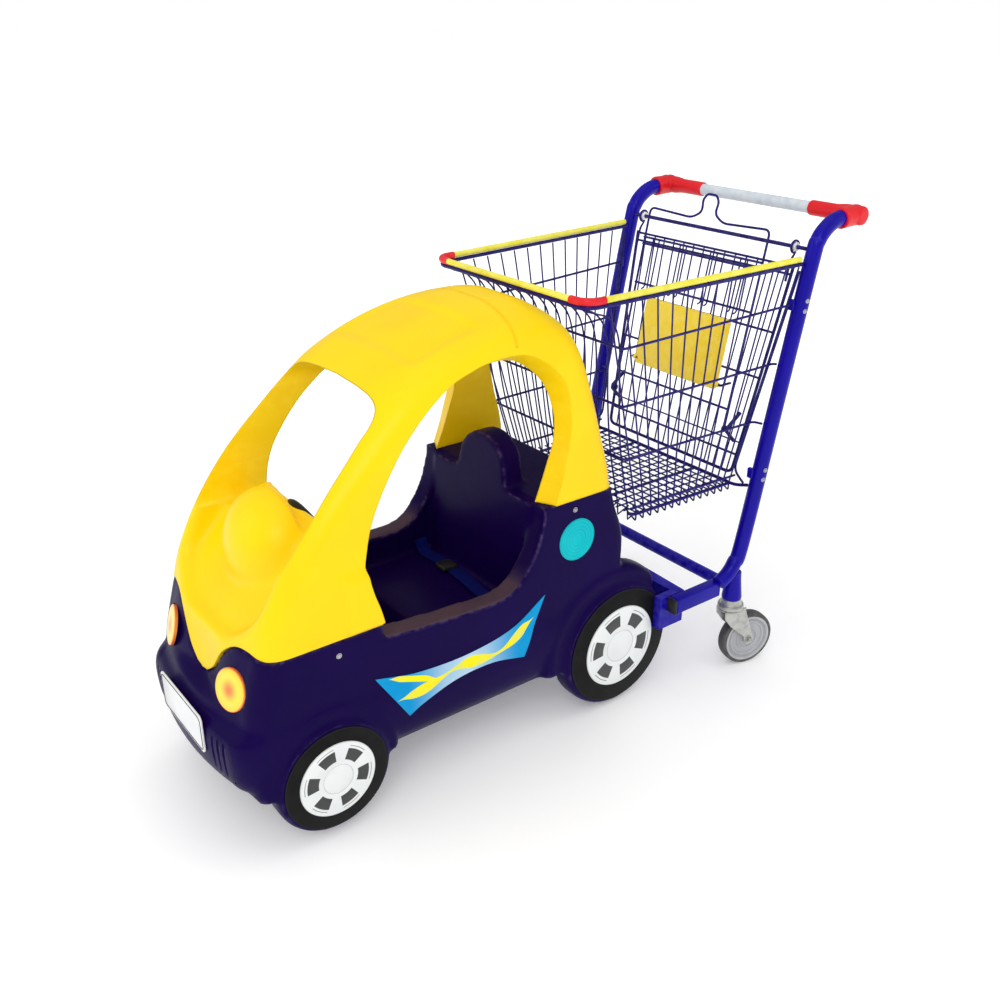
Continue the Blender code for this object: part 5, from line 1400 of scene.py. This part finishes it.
def car_body():
    hull = loft(dense_rings(BODY_LEVELS))
    flares = []
    for position, side in WHEEL_PLACES:
        trims = [block((-0.40, -0.30, -0.10), (-0.2385, 0.30, 0.50)),
                 block((-0.40, -0.30, -0.10), (0.80, 0.30, 0.122))]
        flares.append(less(fender(position, side), trims))
    door = flowing_pairs(DOOR_FOOT, 4) + [(DOOR_FRONT, 0.60), (0.050, 0.60)]
    behind = BACKREST_X - 0.015
    cabin = [(behind + BACKREST_LEAN * 0.70, 0.70), (behind + BACKREST_LEAN * BENCH_Z, BENCH_Z),
             (0.240, BENCH_Z), (0.268, BENCH_Z - 0.006), (0.288, 0.245), (0.300, 0.205), (0.320, 0.200),
             (0.540, 0.200), (0.560, 0.22), (0.560, 0.70)]
    hollow = [(-0.125, 0.05), (-0.125, 0.235), (-0.110, 0.245), (0.270, 0.245), (0.285, 0.230),
              (0.290, 0.1845), (0.640, 0.1845), (0.640, 0.05)]
    cuts = [
        slab(door, -0.30, 0.30, "Y"),
        slab(cabin, -CABIN_HALF, CABIN_HALF, "Y"),
        slab(seam_region(), DOOR_FRONT - 0.002, 0.80, "X"),
        slab(hollow, -CHASSIS_HALF, CHASSIS_HALF, "Y"),
        block((-0.30, -CHASSIS_HALF, 0.05), (-0.10, CHASSIS_HALF, 0.225)),
    ]
    shell = less(hull, cuts)
    bosses = [less(wheel_boss(position, side), [slab(hollow, -0.150, 0.150, "Y")])
              for position, side in WHEEL_PLACES]
    whole = joined([shell] + flares + bosses + [backrest()])
    skin = sculpt(fused(whole, 0.0050, 5), nose_tuck)
    recess = [lamp_disc(side, 0.0015, -0.0035, 0.05) for side in (1, -1)]
    plate_low, plate_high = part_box("number_plate")
    recess.append(block((plate_low.x - 0.0006, plate_low.y - 0.001, plate_low.z - 0.001),
                        (0.80, plate_high.y + 0.001, plate_high.z + 0.001)))
    skin = less(skin, recess + bumper_ribs())
    shown("car_shell", skin, PURPLE, "cart", "car_body", sharp=48)
    return skin


def lamp_disc(side, extra, start, end):
    """A cutter for the round recess of a lamp."""
    centre = middle("headlight_left")
    centre.y *= side
    return lathe([(LAMP_R + extra, start), (LAMP_R + extra, end)], centre, lamp_axis(side), 64)


# ---------------------------------------------------------------- canopy
CANOPY_LEVELS = (
    # height, rear, front, half width, front corner radius, rear corner radius, bow
    (0.280, -0.118, 0.6810, 0.2025, 0.045, 0.030, 0.020),
    (0.340, -0.118, 0.6640, 0.2025, 0.045, 0.030, 0.019),
    (0.388, -0.120, 0.6480, 0.2030, 0.045, 0.030, 0.018),
    (0.440, -0.122, 0.6300, 0.2030, 0.046, 0.030, 0.016),
    (0.523, -0.119, 0.5870, 0.2010, 0.050, 0.030, 0.014),
    (0.610, -0.098, 0.5200, 0.1970, 0.055, 0.030, 0.010),
    (0.690, -0.078, 0.4390, 0.1920, 0.065, 0.030, 0.006),
    (0.737, -0.066, 0.3900, 0.1870, 0.075, 0.032, 0.004),
    (0.768, -0.058, 0.3560, 0.1830, 0.085, 0.036, 0.004),
    (0.802, -0.045, 0.2990, 0.1750, 0.095, 0.042, 0.006),
    (0.826, -0.030, 0.2420, 0.1620, 0.096, 0.048, 0.008),
    (0.845, -0.012, 0.1820, 0.1340, 0.080, 0.052, 0.010),
    (0.857, 0.004, 0.1300, 0.0950, 0.050, 0.046, 0.006),
    (0.8645, 0.026, 0.0900, 0.0520, 0.022, 0.022, 0.002),
)

DOOR_EDGE = (
    # x and z on the outer face, x and z on the inner face
    (DOOR_FRONT, 0.300, DOOR_FRONT, 0.300), (DOOR_FRONT, 0.372, DOOR_FRONT, 0.372),
    (0.414, 0.420, 0.414, 0.420), (0.425, 0.455, 0.425, 0.455), (0.432, 0.488, 0.430, 0.488),
    (0.431, 0.520, 0.429, 0.520), (0.408, 0.594, 0.406, 0.594), (0.345, 0.692, 0.341, 0.686),
    (0.260, 0.770, 0.256, 0.752), (0.192, 0.799, 0.190, 0.777), (0.154, 0.806, 0.154, 0.784),
    (0.111, 0.810, 0.118, 0.785), (0.079, 0.809, 0.088, 0.778), (0.050, 0.797, 0.062, 0.764),
    (0.013, 0.764, 0.032, 0.738), (-0.007, 0.728, 0.014, 0.710), (-0.012, 0.660, 0.003, 0.660),
    (-0.006, 0.616, 0.006, 0.616),
    (0.006, 0.573, 0.022, 0.573), (0.017, 0.535, 0.037, 0.535), (0.031, 0.495, 0.055, 0.495),
    (0.042, 0.460, 0.066, 0.460), (0.042, 0.300, 0.066, 0.300),
)

WINDSCREEN = [(0.0, 0.592), (0.045, 0.590), (0.080, 0.578), (0.108, 0.556), (0.130, 0.536),
              (0.152, 0.510), (0.169, 0.528), (0.173, 0.590), (0.168, 0.640), (0.163, 0.676),
              (0.158, 0.705), (0.156, 0.722), (0.150, 0.738), (0.138, 0.751), (0.115, 0.760),
              (0.070, 0.765), (0.0, 0.768)]

REAR_WINDOW = [(0.164, 0.40), (0.162, 0.600), (0.152, 0.700), (0.124, 0.762), (0.082, 0.788),
               (0.0, 0.794)]

COWL = ((0.385, 0.625), (0.425, 0.592), (0.475, 0.543), (0.530, 0.490), (0.545, 0.465))   # z and x
COWL_WALL = 0.025

HOOD_BOWL = [(0.158, 0.640), (0.158, 0.500), (0.145, 0.440), (0.100, 0.400), (0.060, 0.388), (0.0, 0.385)]


def cowl_x(z):
    """How far forward the sunken hood's back slope is at a height."""
    for (low_z, low_x), (high_z, high_x) in zip(COWL, COWL[1:]):
        if low_z <= z <= high_z:
            return lerp(low_x, high_x, (z - low_z) / (high_z - low_z))
    return 0.80


def inner_rings(inset):
    """The hollow's rings. In front of the child's knees it stops behind the hood's back slope."""
    rings = []
    for level in flowing(CANOPY_LEVELS, 4):
        z, rear, front, half, front_round, rear_round, bow = level
        drop = inset * soft_step(z, 0.690, 0.040)
        if z + inset > 0.845:
            break
        inner_front = min(front - inset - drop * 0.3, cowl_x(z) - COWL_WALL)
        rings.append(plan_ring(z - drop, rear + inset, inner_front, half - inset,
                               max(0.012, front_round - inset), max(0.012, rear_round - inset), bow))
    floor_ring = [(x, y, 0.20) for x, y, _ in rings[0]]
    return [floor_ring] + rings


def door_way():
    """A cutter through both doors whose edge is bevelled from the outer face to the inner."""
    outer = flowing_pairs([(x, z) for x, z, _, _ in DOOR_EDGE])
    inner = flowing_pairs([(x, z) for _, _, x, z in DOOR_EDGE])
    loops = []
    for y, blend in ((-0.30, 0.0), (-0.200, 0.0), (-0.155, 1.0), (0.155, 1.0), (0.200, 0.0), (0.30, 0.0)):
        loops.append([(lerp(a[0], b[0], blend), y, lerp(a[1], b[1], blend)) for a, b in zip(outer, inner)])
    return loft(loops)


def hood_bowl():
    """The space of the sunken hood: a U seen from the front, bounded by the slope behind."""
    slope = [(x, z) for z, x in COWL]
    above = [(0.80, 0.385)] + slope + [(0.440, 0.640), (0.80, 0.640)]
    bowl = slab(mirrored(flowing_pairs(HOOD_BOWL)), 0.42, 0.78, "X")
    return common(bowl, slab(above, -0.20, 0.20, "Y"))


def hood_dome():
    """The round bulge in the hood that carries the steering column, flat toward the child."""
    behind = block((0.30, -0.2, 0.3), (DASH_X, 0.2, 0.7))
    return less(ball((0.500, 0.0, 0.488), (0.085, 0.105, 0.105)), [behind])


def roof_joint_x(y):
    """The joint across the roof is bowed: its ends lie further forward than its middle."""
    return 0.080 + 0.018 * (y / 0.17) ** 2


def canopy_relief(points, normals):
    """A shallow panel sunk into the roof and a raised pad at the foot of each front pillar."""
    x, y, z = points.T
    roof = soft_step(normals[:, 2], 0.35, 0.4) * soft_step(z, 0.72, 0.05)
    across = 1.0 - soft_step(np.abs(y), 0.124, 0.024)
    along = soft_step(x, 0.150, 0.020) * (1.0 - soft_step(x, 0.284, 0.024))
    push = -0.0055 * roof * across * along
    outward = soft_step(np.abs(normals[:, 1]), 0.6, 0.2) * soft_step(np.abs(y), 0.185, 0.010)
    pad = (1.0 - soft_step(x, 0.476, 0.018)) * (1.0 - soft_step(z, 0.496, 0.020))
    push = push + 0.0115 * outward * pad * soft_step(z, 0.392, 0.012)
    return normals * push[:, None]


def roof_groove(skin):
    """A thin round groove along the joint, laid on the roof's own surface."""
    surface = surface_of(skin)
    path = []
    for step in range(61):
        y = lerp(-0.172, 0.172, step / 60)
        hit = surface.ray_cast(Vector((roof_joint_x(y), y, 1.2)), Vector((0, 0, -1)))[0]
        if hit is not None and hit.z > 0.70:
            path.append(hit + Vector((0, 0, 0.0004)))
    return tubes([(0.0026, path)], 3)


def canopy():
    window = [(REAR_WINDOW[0][0], 0.30)] + flowing_pairs(REAR_WINDOW[1:])
    below = [point for point in seam_region(SEAM_GAP) if point[1] < 0.90] + [(-0.30, 0.10), (0.30, 0.10)]
    shell = less(loft(dense_rings(CANOPY_LEVELS)), [loft(inner_rings(0.038)), hood_bowl()])
    shell = joined([shell, hood_dome()])
    skin = sculpt(sculpt(fused(shell, 0.0042, 55), nose_tuck), canopy_relief)
    openings = [
        door_way(),
        slab(mirrored(flowing_pairs(WINDSCREEN, 8)), 0.25, 0.80, "X"),
        slab(mirrored(window), -0.30, 0.04, "X"),
    ]
    skin = less(skin, openings)
    edges = [
        slab(below, -0.40, 0.90, "X"),
        block((-0.30, -0.30, 0.10), (DOOR_FRONT - 0.0015, 0.30, 0.5006)),
        roof_groove(skin),
    ]
    skin = less(skin, edges)
    shown("canopy_shell", skin, YELLOW, "cart", "canopy", sharp=50)


# ---------------------------------------------------------------- car details
def lamps():
    for name, side in SIDES.items():
        axis = lamp_axis(side)
        centre = middle("headlight_" + name)
        profile = [(LAMP_R - 0.0004, -0.003), (LAMP_R - 0.0004, 0.0012), (LAMP_R - 0.0014, 0.0022),
                   (LAMP_R * 0.9, 0.0027), (LAMP_R * 0.5, 0.0034), (LAMP_R * 0.1, 0.0037)]
        finish = lamp_print("lamp_print_" + name, centre, axis, LAMP_R)
        shown("lamp_" + name, lathe(profile, centre, axis, 72), finish, "cart", "headlight_" + name)


def plate():
    """A blank white plate with rounded corners and a thin dark border let into it."""
    plate_low, plate_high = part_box("number_plate")
    outline = rounded_rectangle(plate_low.yz, plate_high.yz, 0.010, 6)
    board = bevelled(slab(outline, plate_low.x, plate_high.x, "X"), 0.0007, 2)
    shown("plate_board", board, WHITE, "cart", "number_plate")
    centre_z = (plate_low.z + plate_high.z) / 2
    inset = [(y * 0.955, centre_z + (z - centre_z) * 0.89) for y, z in outline]
    line = [Vector((plate_high.x + 0.0001, y, z)) for y, z in inset + inset[:1]]
    shown("plate_border", tubes([(0.0009, line)], 2), BLACK, "cart")


def printed_wheels():
    for name, side in SIDES.items():
        for position in ("front", "rear"):
            tag = position + "_" + name
            disc = middle("tyre_disc_" + tag)
            centre, tyre_r, cap_r = wheel_place(position)
            inner = side * (WHEEL_FACE + 0.0003)
            profile = [(tyre_r - 0.0004, 0.0), (tyre_r, 0.0004), (tyre_r - 0.0002, 0.0014),
                       (tyre_r - 0.0016, 0.0020), (0.01, 0.0020)]
            mesh = lathe(profile, (centre.x, inner, centre.z), (0, side, 0), 96)
            shown("tyre_print_" + tag, mesh, tyre_print("tyre_print_" + tag, disc, tyre_r), "cart",
                  "tyre_disc_" + tag)
            start = side * (WHEEL_FACE + 0.0026)
            profile = [(cap_r - 0.0003, 0.0), (cap_r, 0.0003), (cap_r - 0.0003, 0.0014),
                       (cap_r - 0.0014, 0.0019), (cap_r * 0.40, 0.0020), (cap_r * 0.39, 0.0016),
                       (cap_r * 0.375, 0.0016), (cap_r * 0.365, 0.0020), (0.005, 0.0021)]
            mesh = lathe(profile, (centre.x, start, centre.z), (0, side, 0), 96)
            finish = hubcap_print("hubcap_print_" + tag, centre, cap_r, 0.35)
            shown("hubcap_cover_" + tag, mesh, finish, "cart", "hubcap_" + tag)


STICKER_TOP = [(0.051, 0.321), (0.130, 0.275), (0.230, 0.259), (0.340, 0.263), (0.428, 0.283)]
STICKER_FOOT = [(0.103, 0.204), (0.180, 0.221), (0.260, 0.218), (0.330, 0.197), (0.363, 0.180)]
FILLER_CAP = Vector((-0.026, 0, 0.415))
FILLER_CAP_R = 0.043
SHELL_SCREWS = ((0.493, 0.357), (-0.021, 0.478))


def on_side(surface, side, x, z):
    """The point of the car's side at a place seen from beside it."""
    return surface.ray_cast(Vector((x, side * 0.40, z)), Vector((0, -side, 0)))[0]


def side_sheet(surface, side):
    """A thin bow-tie sheet laid on the car's side."""
    rows = 16
    work = bmesh.new()
    grid = []
    for upper, lower in zip(flowing(STICKER_TOP, 12), flowing(STICKER_FOOT, 12)):
        line = []
        for step in range(rows + 1):
            x, z = lerp(lower, upper, step / rows)
            line.append(work.verts.new((x, on_side(surface, side, x, z).y + side * 0.0009, z)))
        grid.append(line)
    strip_faces(work, grid)
    bmesh.ops.recalc_face_normals(work, faces=work.faces)
    return thickened(mesh_of(work), 0.0005, 0.0)


def side_graphics(shell):
    """A bow-tie sticker on each door panel, a round one behind it, and the shell's screws."""
    surface = surface_of(shell)
    (x_start, z_high), (x_end, _), (_, z_low) = STICKER_TOP[0], STICKER_TOP[-1], STICKER_FOOT[-1]
    finish = side_graphic_print(x_start, x_end, z_low, z_high)
    cap_r = FILLER_CAP_R
    cap_finish = filler_cap_print(FILLER_CAP, cap_r)
    for name, side in SIDES.items():
        shown("side_sticker_" + name, side_sheet(surface, side), finish, "cart")
        base = on_side(surface, side, FILLER_CAP.x, FILLER_CAP.z)
        profile = [(cap_r, -0.002), (cap_r, 0.0012), (cap_r - 0.001, 0.0020), (cap_r - 0.004, 0.0020),
                   (cap_r - 0.005, 0.0014), (cap_r * 0.62, 0.0016), (cap_r * 0.60, 0.0020),
                   (cap_r * 0.54, 0.0020), (cap_r * 0.52, 0.0016), (0.003, 0.0018)]
        disc = lathe(profile, base, (0, side, 0), 72)
        shown("filler_sticker_" + name, disc, cap_finish, "cart")
        for index, (x, z) in enumerate(SHELL_SCREWS):
            place = on_side(surface, side, x, z) - Vector((0, side * 0.0008, 0))
            bolt("shell_screw_%s_%d" % (name, index), place, (0, side, 0), 0.0040)


def cabin():
    steering_wheel()
    NODES["steering_column"].data.materials.clear()
    NODES["steering_column"].data.materials.append(BLACK)
    belt()


def steering_wheel():
    """A ring with a soft section, three spokes and a domed boss."""
    centre = joint_at("steering_turn")
    axis = Vector(JOINTS["steering_turn"]["axis"]).normalized()
    radius, grip = 0.065, 0.0085
    section = []
    for step in range(20):
        angle = 2 * math.pi * step / 20
        section.append((radius - grip + grip * math.cos(angle), grip * math.sin(angle)))
    parts = [lathe(section, centre, axis, 72, closed=True)]
    boss = [(0.016, -0.012), (0.0195, -0.008), (0.020, 0.000), (0.0185, 0.005), (0.013, 0.0085),
            (0.004, 0.0095)]
    parts.append(lathe(boss, centre, axis, 40))
    tilt = axis.to_track_quat("Z", "Y").to_matrix()
    for spoke in range(3):
        angle = math.radians(90 + 120 * spoke)
        out = tilt @ Vector((math.cos(angle), math.sin(angle), 0))
        parts.append(tubes([(0.0060, [centre + out * 0.012, centre + out * (radius - 0.012)])], 4))
    skin = fused(joined(parts), 0.0016, 4)
    shown("steering_ring", skin, BLACK, "steering", "steering_wheel", sharp=0)


def belt():
    """A lap strap that drapes over the bench, with a small buckle."""
    bench = BENCH_Z + 0.002
    belt_x, half_width = 0.104, 0.014
    path = [(-0.150, bench + 0.030), (-0.135, bench + 0.004), (-0.090, bench + 0.0022),
            (-0.030, bench + 0.0030), (0.030, bench + 0.0070), (0.080, bench + 0.0030),
            (0.130, bench + 0.004), (0.150, bench + 0.030)]
    work = bmesh.new()
    rows = []
    for y, z in flowing(path, 8):
        sway = 0.006 * math.sin(y * 22.0)
        places = [belt_x + sway + half_width * across / 3 for across in range(-3, 4)]
        rows.append([work.verts.new((x, y, z)) for x in places])
    strip_faces(work, rows)
    shown("lap_belt", thickened(mesh_of(work), 0.0014, 1.0), BELT, "cart")
    buckle = bevelled(block((0.088, -0.070, bench + 0.003), (0.122, -0.036, bench + 0.012)), 0.003, 4)
    shown("belt_buckle", buckle, BLACK, "cart")


# ---------------------------------------------------------------- studio
AIM = Vector((0.0, 0.0, 0.45))   # what the lights point at
LIGHTS = (
    # name, place, size, power
    ("key", (2.2, 2.6, 3.2), 1.8, 40.0),
    ("fill", (-2.6, 2.4, 2.2), 2.6, 11.0),
    ("front", (3.0, -1.2, 2.0), 2.4, 14.0),
    ("top", (0.0, 0.2, 3.6), 3.0, 14.0),
)
ROOM_LEVEL = 0.80                # brightness of the white surround as a light
SEEN_LEVELS = (("Is Glossy Ray", 0.38), ("Is Camera Ray", 1.00))
CAMERA_AT = (1.174, 1.549, 1.336)
CAMERA_LOOK = Vector((-0.5458, -0.7236, -0.4225))
LENS_MM = 38.1
SENSOR_MM = 36.0


def studio():
    work = bmesh.new()
    bmesh.ops.create_grid(work, x_segments=2, y_segments=2, size=30.0)
    mesh = mesh_of(work)
    floor = bpy.data.objects.new("studio_floor", mesh)
    bpy.context.scene.collection.objects.link(floor)
    mesh.materials.append(floor_finish())
    white_room()
    for name, place, size, power in LIGHTS:
        soft_light(name, place, size, power)


def white_room():
    """A white surround, dimmer where it is seen in reflections."""
    world = bpy.data.worlds.new("studio")
    bpy.context.scene.world = world
    world.use_nodes = True
    tree = world.node_tree
    sky = tree.nodes["Background"]
    sky.inputs["Color"].default_value = (1.0, 1.0, 1.0, 1.0)
    ray = tree.nodes.new("ShaderNodeLightPath")
    strength = None
    for output, level in SEEN_LEVELS:
        chosen = tree.nodes.new("ShaderNodeMix")
        chosen.inputs["A"].default_value = ROOM_LEVEL
        chosen.inputs["B"].default_value = level
        tree.links.new(ray.outputs[output], chosen.inputs["Factor"])
        if strength is not None:
            tree.links.new(strength, chosen.inputs["A"])
        strength = chosen.outputs["Result"]
    tree.links.new(strength, sky.inputs["Strength"])


def soft_light(name, place, size, power):
    lamp = bpy.data.lights.new(name, "AREA")
    lamp.size = size
    lamp.energy = power
    item = bpy.data.objects.new(name, lamp)
    bpy.context.scene.collection.objects.link(item)
    item.location = place
    item.rotation_euler = (AIM - Vector(place)).to_track_quat("-Z", "Y").to_euler()


def camera():
    lens = bpy.data.cameras.new("camera")
    lens.lens = LENS_MM
    lens.sensor_width = SENSOR_MM
    item = bpy.data.objects.new("camera", lens)
    bpy.context.scene.collection.objects.link(item)
    item.location = CAMERA_AT
    item.rotation_euler = CAMERA_LOOK.to_track_quat("-Z", "Y").to_euler()
    bpy.context.scene.camera = item
    bpy.context.scene.view_settings.view_transform = "Standard"


def build():
    push_frame()
    handle()
    for name, side in SIDES.items():
        basket_side(name, side)
    basket_front()
    basket_floor()
    rim()
    gate_rod()
    gate()
    seat_back()
    seat_flap()
    rear_casters()
    front_casters()
    shell = car_body()
    canopy()
    lamps()
    plate()
    printed_wheels()
    side_graphics(shell)
    cabin()
    studio()
    camera()


build()
